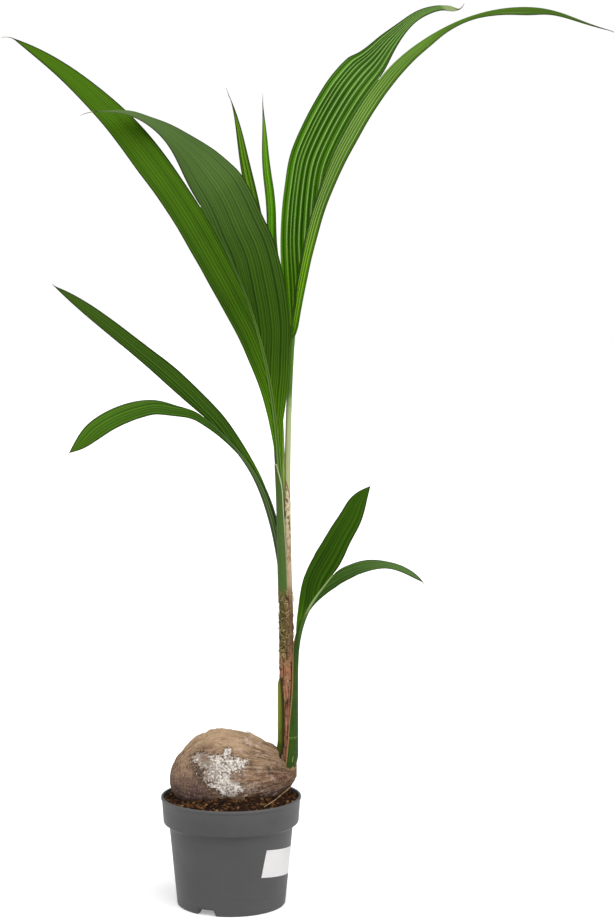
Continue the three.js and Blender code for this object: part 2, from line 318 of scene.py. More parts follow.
# camera, floor and light
studio = {
    "camera": (104, -3200, 930), "pitch": 5.685, "lens": 93.1, "sensor": 36,
    "white": rgb(255, 255, 255), "sky": 0.42, "backdrop": 1.0,
    "floor": 30000, "floorRough": 0.9, "floorShine": 0.1, "floorGlow": 0.3,
    "floorTones": (rgb(253, 253, 253), rgb(254, 254, 254)),
    "key": {"bearing": -55, "height": 52, "strength": 2.4, "spread": 75},
    "fill": {"bearing": 175, "height": 25, "strength": 0.8, "spread": 90},
}


def makeCamera():
    scene = bpy.context.scene
    eye = bpy.data.cameras.new("camera")
    eye.lens = studio["lens"]
    eye.sensor_width = studio["sensor"]
    scene.camera = placed("camera", eye)
    scene.camera.location = Vector(studio["camera"]) * mm
    scene.camera.rotation_euler = ((90 - studio["pitch"]) * rad, 0, 0)
    scene.view_settings.view_transform = "Standard"


def makeSky():
    world = bpy.data.worlds.new("soft_box")
    world.use_nodes = True
    sky = Nodes(world.node_tree)
    around = sky.node("Background", {}, {"Color": studio["white"], "Strength": studio["sky"]})
    behind = sky.node("Background", {}, {"Color": studio["white"], "Strength": studio["backdrop"]})
    seen = sky.node("LightPath", {}, {}, "Is Camera Ray")
    both = sky.node("MixShader", {}, {0: seen, 1: around, 2: behind})
    sky.feed(world.node_tree.nodes["World Output"].inputs["Surface"], both)
    bpy.context.scene.world = world


def makeLamp(name, look):
    light = bpy.data.lights.new(name, "SUN")
    light.energy = look["strength"]
    light.angle = look["spread"] * rad
    towards = Vector(heading(90 - look["height"], look["bearing"]))
    placed(name, light).rotation_euler = towards.to_track_quat("Z", "Y").to_euler()


def makeFloor():
    dull, pale = studio["floorTones"]
    f = Finish("floor_paper", dull)
    f.tint(f.mottle(40, 2), pale)
    glow = {"Emission Color": studio["white"], "Emission Strength": studio["floorGlow"]}
    f.wear(studio["floorRough"], studio["floorShine"], **glow)
    half = studio["floor"] / 2 * mm
    mesh = bpy.data.meshes.new("floor")
    corners = [(-half, -half, 0), (half, -half, 0), (half, half, 0), (-half, half, 0)]
    mesh.from_pydata(corners, [], [(0, 1, 2, 3)])
    mesh.materials.append(f.material)
    floor = placed("floor", mesh)
    floor.visible_diffuse = False  # the plant's lower sides stay in soft shade


makeCamera()
makeSky()
makeLamp("key_light", studio["key"])
makeLamp("fill_light", studio["fill"])
makeFloor()
print("studio: camera, two lights, floor")

# nursery pot: each row of the profile is radius, height and corner rounding
pot = {
    "profile": [
        (0, 0, 0), (30, 0, 1.5), (32, 7, 2), (62.9, 7, 2), (64.9, 0, 1.5), (72.9, 0, 0.6), (74.4, 1.5, 0.6),
        (84.7, 109.5, 3.5), (92.6, 114.5, 1.6), (94.8, 145.5, 0.5), (96, 146.6, 0.5), (96, 150, 1.4),
        (92.6, 150, 0.9), (92.6, 147, 1), (90.4, 119.5, 4), (82.5, 109.5, 4), (72.2, 11, 5), (0, 11, 0),
    ],
    "wallFoot": (74.4, 1.5), "wallTop": (84.7, 109.5), "segments": 192, "roundSteps": 5, "reach": 9,
    "notches": 3, "notchBearing": -115.5, "notchFoot": 31, "notchHead": 22, "notchHeights": (-2, 8.6),
    "notchDepth": 30, "scuffed": (50, 12), "lip": (128, 150), "rough": 0.5, "shine": 0.42,
    "grey": rgb(82, 82, 83), "paleGrey": rgb(126, 124, 120), "soot": rgb(66, 64, 62), "smudge": rgb(104, 84, 66),
}


def rounded(profile, steps, reach):
    points = []
    for i, (radius, height, corner) in enumerate(profile):
        here = np.array([radius, height], float)
        if corner == 0:
            points.append(here)
            continue
        before = np.array(profile[i - 1][:2], float) - here
        after = np.array(profile[i + 1][:2], float) - here
        near = here + before * min(corner / np.linalg.norm(before), 0.48)
        far = here + after * min(corner / np.linalg.norm(after), 0.48)
        for t in np.linspace(0, 1, steps):
            points.append(near * (1 - t) ** 2 + here * 2 * t * (1 - t) + far * t**2)
    filled = [points[0]]
    for a, b in zip(points, points[1:]):  # long walls get rows of their own
        count = max(1, int(np.linalg.norm(b - a) / reach))
        filled += [a + (b - a) * k / count for k in range(1, count + 1)]
    return np.array(filled)


def potFinish():
    f = Finish("pot_plastic", pot["grey"])
    z = f.axis("Z")
    fine = f.mottle(900, 2)
    cloud = f.mottle(16, 3)
    scuff = f.grain(f.place((22, 22, 700)), 1, 3, 0.6).between(0.6, 0.72)
    smudge = f.mottle(55, 4).between(0.6, 0.75)
    low = z.between(*pot["scuffed"])
    lip = z.between(*pot["lip"])
    f.tint(cloud.between(0.35, 0.7) * 0.22, pot["soot"])
    # paler towards the lip
    f.tint(lip * 0.12, pot["paleGrey"])
    f.tint(scuff * low * 0.3, pot["paleGrey"])
    f.tint(smudge * low * 0.25, pot["smudge"])
    normal = f.bump(fine + 0.5 * cloud, 0.25, 0.12)
    return f.wear(pot["rough"] + 0.12 * cloud + 0.1 * scuff, pot["shine"], Normal=normal)


def makePot():
    profile = rounded(pot["profile"], pot["roundSteps"], pot["reach"])
    points = roundAt(profile[:, :1], turns(pot["segments"]), profile[:, 1:])
    faces = ringFaces(*points.shape[:2])
    shell = piece("pot_shell", points, faces, potFinish(), ["pot"], crease=40)
    cutter = notchCutter()
    cut = shell.modifiers.new("notches", "BOOLEAN")
    cut.operation = "DIFFERENCE"
    cut.solver = "EXACT"
    cut.object = cutter
    ready = shell.evaluated_get(bpy.context.evaluated_depsgraph_get())
    notched = bpy.data.meshes.new_from_object(ready)
    shell.modifiers.remove(cut)
    shell.data = notched
    bpy.data.objects.remove(cutter)


def notchCutter():
    points = []
    faces = []
    foot = pot["notchFoot"] / 2
    head = pot["notchHead"] / 2
    low, high = pot["notchHeights"]
    section = [(-foot, low), (foot, low), (head, high), (-head, high)]
    for i in range(pot["notches"]):
        turn = (pot["notchBearing"] + 360 * i / pot["notches"]) * rad
        faces += rodFaces(2, len(section), len(points))
        for depth in (-pot["notchDepth"] / 2, pot["notchDepth"] / 2):
            out = roundAt(pot["wallFoot"][0] + depth, turn, 0)
            points += [out + xyz(-math.sin(turn) * side, math.cos(turn) * side, z) for side, z in section]
    mesh = bpy.data.meshes.new("notch_cutter")
    mesh.from_pydata((np.array(points) * mm).tolist(), [], faces)
    turnOutward(mesh)
    return placed("notch_cutter", mesh)


makePot()
print("pot: turned, notched")

# bare label on the pot's wall
label = {
    "bearing": -30.9, "height": 67.1, "width": 70, "tall": 38, "tilt": -7,
    "thick": 0.25, "proud": 0.15, "curl": 0.5, "steps": 36, "rows": 16,
    "paper": rgb(255, 253, 252), "stain": rgb(250, 247, 246), "rough": 0.5,
}


def wallRadius(z):
    low, foot = pot["wallFoot"]
    high, top = pot["wallTop"]
    return low + (high - low) * (z - foot) / (top - foot)


def labelFinish():
    f = Finish("label_paper", label["paper"])
    fibre = f.mottle(420, 4)
    stain = f.mottle(45, 3)
    f.tint(stain.between(0.4, 0.75), label["stain"])
    return f.wear(label["rough"] + 0.15 * fibre, Normal=f.bump(fibre + stain, 0.2, 0.1))


def makeLabel():
    tilt = label["tilt"] * rad
    u = np.linspace(-0.5, 0.5, label["steps"])[None]
    v = np.linspace(-0.5, 0.5, label["rows"])[:, None]
    flat = u * label["width"]
    tall = v * label["tall"]
    sideways = flat * math.cos(tilt) - tall * math.sin(tilt)
    z = label["height"] + flat * math.sin(tilt) + tall * math.cos(tilt)
    lifted = label["curl"] * eased(0.44, 0.5, np.abs(u)) * eased(0.3, 0.5, v)  # at the upper corners
    r = wallRadius(z) + label["proud"] + lifted
    turn = label["bearing"] * rad + sideways / wallRadius(z)
    points = folded(roundAt(r + label["thick"], turn, z), roundAt(r, turn, z))
    piece("pot_label", points, foldedFaces(*points.shape[:2]), labelFinish(), crease=40)


makeLabel()
print("label: bare paper")

# seed nut: softly three-ridged, blunt at the left, drawn out to its nose on the right
nut = {
    "left": -84, "right": 89, "axisLeft": 171, "axisRight": 178,
    "girth": [62, 66, 65, 54, 42], "depthShare": 0.82, "underShare": 0.8, "ridge": 0.035, "fullness": 2.45,
    "rows": 220, "sides": 280, "rough": 0.8, "shine": 0.15,
    "lumps": 3, "dents": 2, "knobs": 1, "fibreRelief": 0.9, "wrinkles": 2.6,
    "tan": rgb(184, 154, 122), "brown": rgb(112, 86, 66), "dark": rgb(52, 38, 31), "plum": rgb(92, 70, 66),
    "litTopGold": rgb(184, 156, 124), "russet": rgb(112, 68, 46), "pink": rgb(206, 182, 166),
    "flesh": rgb(150, 104, 88), "mould": rgb(244, 238, 230), "veil": rgb(166, 152, 140),
    "ringShadow": rgb(76, 62, 52),
    # from where to where each look comes in: across, or up, and towards the front
    "blunt": (10, -30), "litTopUp": (225, 262), "russetAcross": (30, 74), "russetUp": (214, 192),
    "plumAcross": (46, -10), "plumUp": (284, 204), "nose": (50, 90), "shadedUnderUp": (186, 164),
    "cracks": (30, 60), "furrows": (20, 60), "pinkAcross": (0, 40),
    "front": (-6, -20), "greyMould": (-18, -32), "ringShadowAcross": (10, -20),
    # middle and reach, across and up, of each bloom of mould on the front
    "blooms": [
        (-38, 208, 13, 10), (-3, 216, 6, 8), (-12, 201, 34, 13),
        (-13, 190, 28, 12), (-5, 178, 22, 10), (3, 169, 16, 8),
    ],
    "bare": [(10, 186, 11, 8), (-35, 209, 6, 5)],
    "streaks": [(25, 229, 6, 10), (32, 222, 3, 7), (-20, 171, 26, 11)],
    "streakMiddle": 228, "streakSlant": 0.8,
    "hairs": 240, "hairFrom": (0.2, 0.93), "hairReach": (0.03, 0.1), "hairDrift": 0.05,
    "hairLift": (0.2, 1.6), "hairRadius": (0.14, 0.3), "hairTones": (rgb(96, 74, 54), rgb(186, 160, 126)),
    "seed": 11,
}


def nutGirth(s):
    return keyed(nut["girth"], s) * np.sqrt(np.maximum(0, 1 - np.abs(2 * s - 1) ** nut["fullness"]))


def nutPoints(s, a, proud=0):
    r = (nutGirth(s) + proud) * (1 + nut["ridge"] * np.cos(3 * (a - math.pi / 2)))
    x = nut["left"] + (nut["right"] - nut["left"]) * s
    axis = nut["axisLeft"] + (nut["axisRight"] - nut["axisLeft"]) * s
    tall = np.where(np.sin(a) > 0, 1, nut["underShare"])
    return xyz(x, r * nut["depthShare"] * np.cos(a), axis + r * tall * np.sin(a))


def nutRelief(s, a, points):
    thread = uneven(xyz(s * 5, np.cos(a) * 15, np.sin(a) * 15), 1, 3)
    nose = eased(0.5, 0.9, s)
    folds = uneven(xyz(s * 4, np.cos(a) * 4, np.sin(a) * 4), 1, 3)
    lump = uneven(points, 42, 2) * nut["lumps"] - np.abs(uneven(points + 90, 24, 2)) * nut["dents"]
    knob = uneven(points + 30, 8, 2) * nut["knobs"]
    body = lump + knob + thread * nut["fibreRelief"] * (1 + nose) - np.abs(folds) * nut["wrinkles"] * nose
    return body * eased(0, 0.05, s) * eased(1, 0.95, s), thread, folds


# how far a point lies inside an oval on the nut's front: 1 at its middle, 0 at its edge
def inOval(x, z, oval):
    middleX, middleZ, reachX, reachZ = oval
    return 1 - ((x - middleX) / reachX) ** 2 - ((z - middleZ) / reachZ) ** 2


def nearest(ovals, x, z):
    inside = inOval(x, z, ovals[0])
    for oval in ovals[1:]:
        inside = inside.orMore(inOval(x, z, oval))
    return inside


# grain that follows the husk, so fine along it and so fine round it
def husked(f, along, girth, detail, rough):
    way = f.joined(f.read("along") * along, f.read("sideY") * girth, f.read("sideZ") * girth)
    return f.grain(way, 1, detail, rough)


# fibres and hairs, which turn upright at the blunt end
def huskGrains(f, x, cloud):
    blunt = (x + 50 * cloud).between(*nut["blunt"])
    fibre = husked(f, 9, 40, 4, 0.62)
    upright = f.grain(f.place((420, 420, 50)), 1, 4, 0.62)
    hair = husked(f, 22, 130, 3, 0.6)
    fuzz = f.grain(f.place((900, 900, 110)), 1, 3, 0.6)
    return fibre + (upright - fibre) * blunt, hair + (fuzz - hair) * blunt


def tintHusk(f, x, z, cloud, ragged, speck, fibre, hair):
    tone = 0.4 * cloud + 0.35 * fibre + 0.25 * hair + 0.12 * f.read("thread")
    f.tint(tone.between(0.36, 0.6), nut["tan"])
    # the top paler gold: painted light where the light falls from above
    f.tint((z + 30 * cloud).between(*nut["litTopUp"]) * 0.8, nut["litTopGold"])
    russet = (x + 60 * cloud).between(*nut["russetAcross"]) * (z + 20 * cloud).between(*nut["russetUp"])
    f.tint(russet * 0.45, nut["russet"])
    plum = (x + 70 * ragged).between(*nut["plumAcross"])
    f.tint(plum * (z + 70 * ragged - 0.3 * x).between(*nut["plumUp"]) * 0.92, nut["plum"])
    f.tint((x + 40 * cloud).between(*nut["nose"]) * 0.4, nut["brown"])
    # the lower part darker: painted shade under the nut
    f.tint((z + 24 * ragged - 0.1 * x).between(*nut["shadedUnderUp"]) * 0.62, nut["dark"])
    crack = f.read("fold").between(0.07, 0.0)
    f.tint(crack * (x + 20 * cloud).between(*nut["cracks"]) * 0.75, nut["dark"])
    furrow = husked(f, 3, 19, 3, 0.6).between(0.41, 0.33)
    f.tint(furrow * (x + 50 * cloud).between(*nut["furrows"]) * 0.75, nut["dark"])
    gouge = (fibre * 0.5 + hair * 0.5).between(0.43, 0.36)
    f.tint(gouge * 0.6, nut["dark"])
    f.tint((hair * 0.5 + speck * 0.5).between(0.53, 0.62) * 0.45, nut["pink"])
    f.tint(ragged.between(0.52, 0.64) * (x + 30 * cloud).between(*nut["pinkAcross"]) * 0.4, nut["pink"])


# mould on the front: streaks, then blooms with bare places in them and a dark ring round them, which is
# painted shadow
def tintMould(f, x, z, ragged, speck, hair):
    front = f.axis("Y").between(*nut["front"])
    slant = x + (z - nut["streakMiddle"]) * nut["streakSlant"]
    streak = nearest(nut["streaks"], slant, z)
    streak = (streak + 3.2 * ragged - 1.7 + 2 * hair - 1).between(-0.1, 0.9) * front
    f.tint(streak * speck.between(0.4, 0.56) * 0.8, nut["pink"])
    grit = f.mottle(360, 3, 0.75)
    frayed = 3 * (ragged - 0.5) + 2.4 * (grit - 0.5)
    bare = (nearest(nut["bare"], x, z) + frayed).between(-0.2, 0.7) * front
    f.tint(bare * 0.35, nut["flesh"])
    patch = nearest(nut["blooms"], x, z) + frayed
    bloom = patch.between(-0.15, 0.4) * front * (1 - 0.8 * bare)
    powder = grit * 0.75 + ragged * 0.25
    greyer = x.between(*nut["greyMould"])
    veil = f.mix((powder - 0.07 * greyer).between(0.46, 0.55), nut["veil"], nut["mould"])
    f.tint(bloom * 0.92, veil)
    # a dark band just outside the blooms, stronger towards the left: painted shadow of the mould
    ring = patch.between(-1.1, -0.3) * patch.between(0.3, -0.2) * front
    f.tint(ring * grit.between(0.56, 0.46) * (0.6 + 0.35 * x.between(*nut["ringShadowAcross"])), nut["ringShadow"])
    f.tint(powder.between(0.44, 0.38) * (0.45 + 0.3 * bloom), nut["dark"])
    return bloom


def nutFinish():
    f = Finish("husk", nut["brown"])
    x = f.axis("X")
    z = f.axis("Z")
    cloud = f.mottle(30, 4)
    ragged = f.mottle(95, 5, 0.7)
    speck = f.mottle(430, 3, 0.65)
    fibre, hair = huskGrains(f, x, cloud)
    tintHusk(f, x, z, cloud, ragged, speck, fibre, hair)
    bloom = tintMould(f, x, z, ragged, speck, hair)
    normal = f.bump(fibre + 0.6 * hair + (0.4 + bloom) * speck, 0.7, 1)
    return f.wear(nut["rough"] + 0.15 * hair, nut["shine"], Normal=normal)


def makeNut():
    s = (1 - np.cos(np.linspace(0, math.pi, nut["rows"])))[:, None] / 2
    a = turns(nut["sides"])[None]
    relief, thread, fold = nutRelief(s, a, nutPoints(s, a))
    points = nutPoints(s, a, relief)
    values = {"thread": thread, "fold": np.abs(fold), "along": s, "sideY": np.cos(a), "sideZ": np.sin(a)}
    piece("seed_nut", points, ringFaces(*points.shape[:2]), nutFinish(), ["nut"], values)


def nutHairs():
    rng = np.random.default_rng(nut["seed"])
    lines = []
    t = np.linspace(0, 1, 8)[:, None]
    for i in range(nut["hairs"]):
        start = rng.uniform(*nut["hairFrom"])
        reach = rng.uniform(*nut["hairReach"])
        side = rng.uniform(0, fullTurn)
        drift = rng.normal(0, nut["hairDrift"])
        lift = 0.6 + rng.uniform(*nut["hairLift"]) * t**2
        lines.append(nutPoints(np.clip(start + reach * t, 0, 0.985), side + drift * t, lift)[:, 0])
    radii = rng.uniform(*nut["hairRadius"], nut["hairs"])
    strands("nut_hairs", lines, radii, strandFinish("husk_hair", *nut["hairTones"]))


makeNut()
nutHairs()
print("nut: husk with relief, hairs")

# soil: a plug of peat heaped against the nut, with bark chips and a straw on top
soil = {
    "heapAt": [0, 50, 70, 91.8], "heap": [158, 156.5, 150, 145], "level": 84,
    "foot": [(89.8, 119.2), (81.9, 109.2), (71.8, 11.4), (0.01, 11.4)],
    "rings": 80, "spokes": 260, "lumps": 3.2, "crumbs": 1.3,
    "peat": rgb(44, 27, 16), "wet": rgb(22, 13, 9), "crumb": rgb(84, 54, 30),
    "rough": 0.85, "shine": 0.15, "nutFoot": (80, 50), "nutClear": 0.75, "seed": 5,
    "chipReach": 0.985, "chipWide": (0.3, 0.7), "chipThick": (0.18, 0.4), "chipCrook": 0.22, "chipLean": 0.5,
    "chipRough": 0.9, "chipShine": 0.1,
    "chips": [
        {"name": "chips_dark", "count": 1500, "long": (1.5, 5), "tones": (rgb(32, 19, 12), rgb(58, 36, 22))},
        {"name": "chips_brown", "count": 900, "long": (1.5, 6), "tones": (rgb(66, 42, 25), rgb(112, 76, 44))},
        {"name": "chips_tan", "count": 200, "long": (1.5, 6), "tones": (rgb(104, 78, 50), rgb(148, 118, 80))},
    ],
    "straw": [(46, -76, 152), (60, -60, 157), (72, -42, 163), (84, -22, 169)],
    "strawRadius": 0.55, "strawTones": (rgb(128, 98, 66), rgb(182, 150, 108)),
}


def soilHeight(x, y):
    r = np.hypot(x, y)
    flat = xyz(x, y, 0)
    lump = uneven(flat, 26, 3) * soil["lumps"] + uneven(flat + 40, 6, 3) * soil["crumbs"]
    return np.interp(r, soil["heapAt"], soil["heap"]) + lump * eased(soil["heapAt"][-1], soil["level"], r)


def soilFinish():
    f = Finish("potting_soil", soil["wet"])
    crumb = f.mottle(420, 4, 0.7)
    clump = f.mottle(110, 3)
    f.tint(crumb.between(0.35, 0.65), soil["peat"])
    f.tint((crumb * 0.5 + clump * 0.5).between(0.52, 0.68), soil["crumb"])
    return f.wear(soil["rough"] + 0.12 * crumb, soil["shine"], Normal=f.bump(crumb + 0.6 * clump, 0.9, 1.5))


def makeSoil():
    turn = turns(soil["spokes"])
    rows = []
    for r in np.linspace(0, soil["heapAt"][-1], soil["rings"]):
        rows.append(roundAt(r, turn, soilHeight(r * np.cos(turn), r * np.sin(turn))))
    rows += [roundAt(r, turn, z) for r, z in soil["foot"]]
    points = np.array(rows)
    faces = ringFaces(*points.shape[:2])
    faces.append(list(range((len(rows) - 1) * soil["spokes"], len(rows) * soil["spokes"])))
    piece("peat_plug", points, faces, soilFinish(), ["soil"], crease=80)


# places on the soil, clear of the nut
def chipSpots(count, rng):
    longX, longY = soil["nutFoot"]
    spots = []
    while len(spots) < count:
        r = soil["heapAt"][-1] * soil["chipReach"] * math.sqrt(rng.random())
        turn = rng.uniform(0, fullTurn)
        x = r * math.cos(turn)
        y = r * math.sin(turn)
        if (x / longX) ** 2 + (y / longY) ** 2 > soil["nutClear"]:
            spots.append((x, y))
    x, y = np.array(spots).T
    return xyz(x, y, soilHeight(x, y))


def chipFinish(chip):
    dark, pale = chip["tones"]
    f = Finish(chip["name"] + "_bark", dark)
    f.tint(f.mottle(160, 3).between(0.3, 0.7), pale)
    normal = f.bump(f.mottle(700, 3), 0.6, 0.5)
    return f.wear(soil["chipRough"], soil["chipShine"], Normal=normal)


def makeChips(chip, rng):
    spots = chipSpots(chip["count"], rng)
    low, high = chip["long"]
    sizes = low + (high - low) * rng.random(chip["count"]) ** 2.2  # mostly small ones
    box = np.array([[i, j, k] for i in (-1, 1) for j in (-1, 1) for k in (-1, 1)], float)
    points = []
    for spot, size in zip(spots, sizes):
        sides = size * np.array([1, rng.uniform(*soil["chipWide"]), rng.uniform(*soil["chipThick"])]) / 2
        body = (box + rng.normal(0, soil["chipCrook"], box.shape)) * sides
        lean = [rng.normal(0, soil["chipLean"]) for axis in "XY"]
        lie = Euler((*lean, rng.uniform(0, fullTurn)))
        body = body @ np.array(lie.to_matrix()).T
        points.append(body + (spot + np.array([0, 0, 0.35 * sides[1]])))
    walls = [(0, 1, 3, 2), (4, 6, 7, 5), (0, 4, 5, 1), (2, 3, 7, 6), (0, 2, 6, 4), (1, 5, 7, 3)]
    faces = [[8 * i + k for k in wall] for i in range(chip["count"]) for wall in walls]
    piece(chip["name"], np.concatenate(points), faces, chipFinish(chip), crease=30)


def makeStraw():
    line = curve(soil["straw"], np.linspace(0, 1, 24))
    tan = strandFinish("dry_straw", *soil["strawTones"])
    strands("straw", [line], [soil["strawRadius"]], tan, 8)


makeSoil()
chipDraw = np.random.default_rng(soil["seed"])
for chip in soil["chips"]:
    makeChips(chip, chipDraw)
makeStraw()
print("soil: peat, chips and a straw")

# stem: a fibrous wrap round the shoot that closes in round the stalks at its ragged top
stem = {
    "foot": 184, "top": 422, "middle": 76, "rows": 260, "sides": 120,
    "axis": [78.4, 78.2, 76.6, 75.9, 75.7, 75.6], "radius": [10.4, 10.4, 9.6, 9.5, 9.5, 9.4],
    "stalkFeet": [(71.3, -3, 6), (80.2, 0, 4.8), (72.2, 8, 4.9), (80.6, 8.6, 3.7)],
    "softening": [-24, -16, -8, 0, 8, 16, 24], "footTuck": 2.6, "footTuckFrom": (210, 189),
    "collar": (404, 424), "tongue": 16, "threads": 0.5, "lumps": 0.35, "weave": 0.1, "weaveTurns": 9,
    "olive": rgb(122, 114, 54), "bark": rgb(140, 106, 80), "rust": rgb(212, 150, 114),
    "russet": rgb(150, 96, 70), "dark": rgb(58, 42, 26), "straw": rgb(204, 180, 130),
    "barkAcross": (-1, 11), "paperyUp": (382, 346), "rough": 0.75, "shine": 0.15,
    "curls": 320, "curlHigh": (330, 434), "curlLow": (215, 340), "curlTop": 442, "curlSide": (190, 285),
    "curlRound": 10, "curlLength": (3, 13), "curlLift": (0.1, 1.2), "curlRadius": (0.2, 0.45),
    "tuft": 5, "tuftAt": (84, -4),
    "curlPale": (rgb(160, 138, 88), rgb(214, 192, 140)), "curlDark": (rgb(46, 34, 20), rgb(92, 70, 42)),
    "seed": 23,
}


def stemShare(z):
    return (np.asarray(z, float) - stem["foot"]) / (stem["top"] - stem["foot"])


# how far the stalks' feet reach out from the stem's axis, each way round
def stalkReach(a):
    reach = []
    for x, y, r in stem["stalkFeet"]:
        ahead = (x - stem["axis"][-1]) * np.cos(a) + y * np.sin(a)
        aside = (x - stem["axis"][-1]) * np.sin(a) - y * np.cos(a)
        reach.append(np.where(np.abs(aside) < r, ahead + np.sqrt(np.maximum(0, r**2 - aside**2)), 0))
    return np.max(reach, axis=0)


def stemPoints(z, a, proud=0):
    collar = np.mean([stalkReach(a + shift * rad) for shift in stem["softening"]], axis=0)
    share = eased(*stem["collar"], z)
    girth = keyed(stem["radius"], stemShare(z)) - stem["footTuck"] * eased(*stem["footTuckFrom"], z)
    r = girth * (1 - share) + collar * share + proud
    return roundAt(r, a, z, keyed(stem["axis"], stemShare(z)))


def stemFinish():
    f = Finish("stem_fibre", stem["olive"])
    x = f.axis("X") - stem["middle"]
    z = f.axis("Z")
    thread = f.read("thread")
    ragged = f.grain(f.place((260, 260, 60)), 1, 4, 0.6)
    fine = f.grain(f.place((1500, 1500, 90)), 1, 3, 0.6)
    tone = (thread * 0.4 + fine * 0.7).between(0.1, 0.7)
    f.tint((x + 10 * ragged).between(*stem["barkAcross"]), stem["bark"])
    f.tint(0.5 * (1 - tone), stem["dark"])
    papery = f.mix(tone, stem["russet"], stem["rust"])
    f.tint((z + 44 * ragged).between(*stem["paperyUp"]), papery)
    f.tint(fine.between(0.56, 0.68) * 0.45, stem["straw"])
    # darker where the threads sink in: painted shade in the grooves between them
    f.tint(thread.between(-0.15, -0.45) * 0.6, stem["dark"])
    normal = f.bump(fine + 0.5 * ragged, 0.6, 0.5)
    return f.wear(stem["rough"] + 0.2 * fine, stem["shine"], Normal=normal)


def makeStem():
    a = turns(stem["sides"])[None]
    top = stem["top"] + stem["tongue"] * (0.25 + uneven(roundAt(4, a, 0), 1, 4))
    w = np.linspace(0, 1, stem["rows"])[:, None]
    z = stem["foot"] + (top - stem["foot"]) * w
    thread = uneven(roundAt(7, a, z / 24), 1, 3)
    weave = np.sin(stem["weaveTurns"] * a + z / 4.5) + np.sin(stem["weaveTurns"] * a - z / 5.5)
    lumps = uneven(stemPoints(z, a), 8, 2)
    relief = thread * stem["threads"] + lumps * stem["lumps"] + weave * stem["weave"]
    relief = relief * eased(0, 0.05, w) * eased(1, 0.9, w) - 0.7 * eased(0.96, 1, w)
    points = np.concatenate([stemPoints(z, a, relief), stemPoints(top - 5, a, -3.5)])  # tucked in at the top
    values = {"thread": np.vstack([thread, thread[-1:]])}
    faces = rodFaces(*points.shape[:2])
    piece("stem_wrap", points, faces, stemFinish(), ["stem"], values)


# a curly fibre that lies on the wrap: two in three high up, three in five on the front's left
def stemCurl(i, t, rng):
    z = rng.uniform(*stem["curlHigh"]) if i % 3 else rng.uniform(*stem["curlLow"])
    side = rng.uniform(*stem["curlSide"]) * rad if i % 5 < 3 else rng.uniform(0, fullTurn)
    length = rng.uniform(*stem["curlLength"])
    way = rng.normal(0, 0.8) + rng.choice([0, math.pi]) + rng.normal(0, 3) * t
    steps = len(t) - 1
    a = side + np.cumsum(np.sin(way)) * length / steps / stem["curlRound"]
    up = z + np.cumsum(np.cos(way)) * length / steps
    lift = 0.35 + rng.uniform(*stem["curlLift"]) * np.sin(t * math.pi * rng.uniform(0.4, 1))
    return stemPoints(np.minimum(up, stem["curlTop"]), a, lift)


def stemFibres():
    rng = np.random.default_rng(stem["seed"])
    t = np.linspace(0, 1, 13)
    lines = [stemCurl(i, t, rng) for i in range(stem["curls"])]
    tuft = stem["tuft"]
    x, y = stem["tuftAt"]
    for i in range(tuft):  # torn, on the right, just under the stalks
        lines.append(xyz(x + (2 + i) * t, y + i * 0.8, stem["top"] + (i - 1.5) * 2 * t**2))
    radii = rng.uniform(*stem["curlRadius"], len(lines))
    pale = strandFinish("stem_hair", *stem["curlPale"])
    dark = strandFinish("stem_thread", *stem["curlDark"])
    paleRadii = np.append(radii[:-tuft:2], radii[-tuft:])
    strands("stem_hairs", lines[:-tuft:2] + lines[-tuft:], paleRadii, pale)
    strands("stem_threads", lines[1:-tuft:2], radii[1:-tuft:2], dark)


makeStem()
stemFibres()
print("stem: fibrous wrap, loose fibres")


# open wrap: rows up from its foot, each an arc from one margin to the other, thin at both margins
def makeWrap(name, look, outline, finish, nodes=()):
    t = np.linspace(0, 1, look["rows"])[:, None]
    u = np.linspace(0, 1, look["steps"])[None]
    ragged = look.get("ragged", 0) * uneven(xyz(u * 12, 0, 0), 1, 3)
    top = look["top"] + look.get("lift", 0) * eased(0.8, 1, u) + ragged
    z = look["foot"] + (top - look["foot"]) * t
    fray = look.get("fray", 0) * eased(0, 0.4, t)
    start = keyed(look["from"], t) + fray * uneven(xyz(t * look["rows"] / 5, 0, 0), 1, 3)
    sweep = keyed(look["to"], t) + fray * uneven(xyz(t * look["rows"] / 5, 9, 0), 1, 3) - start
    a = (start + sweep * u) * rad
    x, y, r = outline(z)
    edge = np.minimum(u, 1 - u) * sweep * rad * r
    ribs = look["ribs"] * uneven(xyz(a * 16, z / 60, 0), 1, 2)
    wall = look["wall"] * (0.3 + 0.7 * eased(0, look["taper"], edge))
    points = folded(roundAt(r + ribs, a, z, x, y), roundAt(r - wall, a, z, x, y))
    edge = np.minimum(edge, (1 - t) * (look["top"] - look["foot"]) + look.get("openTop", 0))
    values = {"edge": folded(edge, edge), "around": folded(a / rad, a / rad)}
    piece(name, points, foldedFaces(*points.shape[:2]), finish, nodes, values)


# sheath of the lowest leaf round the stem's foot, open down its front, and the web that leads to its stalk
sheath = {
    "foot": 187, "top": 300, "lift": 15, "rows": 130, "steps": 100,
    "axis": 78, "radius": 14.1, "flare": 4, "flareFrom": (230, 192), "tuck": 3, "tuckFrom": (207, 188),
    "from": [-92, -92, -86, -76, -66], "to": [232, 244, 250, 247, 226],
    "wall": 2.9, "taper": 5, "openTop": 6, "ribs": 0.14,
    "green": rgb(60, 90, 20), "deep": rgb(40, 64, 22), "lime": rgb(138, 140, 26), "teal": rgb(20, 62, 20),
    "margin": rgb(182, 134, 92), "shadow": rgb(52, 42, 18), "spot": rgb(150, 140, 60),
    # bearings, or heights, from where to where each look comes in
    "limeFrom": (150, 180), "highlightTo": (242, 216), "highlightUp": (225, 290), "tealFrom": (-50, -15),
    "tealTo": (60, 20), "leftHalf": (150, 190), "rough": 0.42, "shine": 0.12,
}
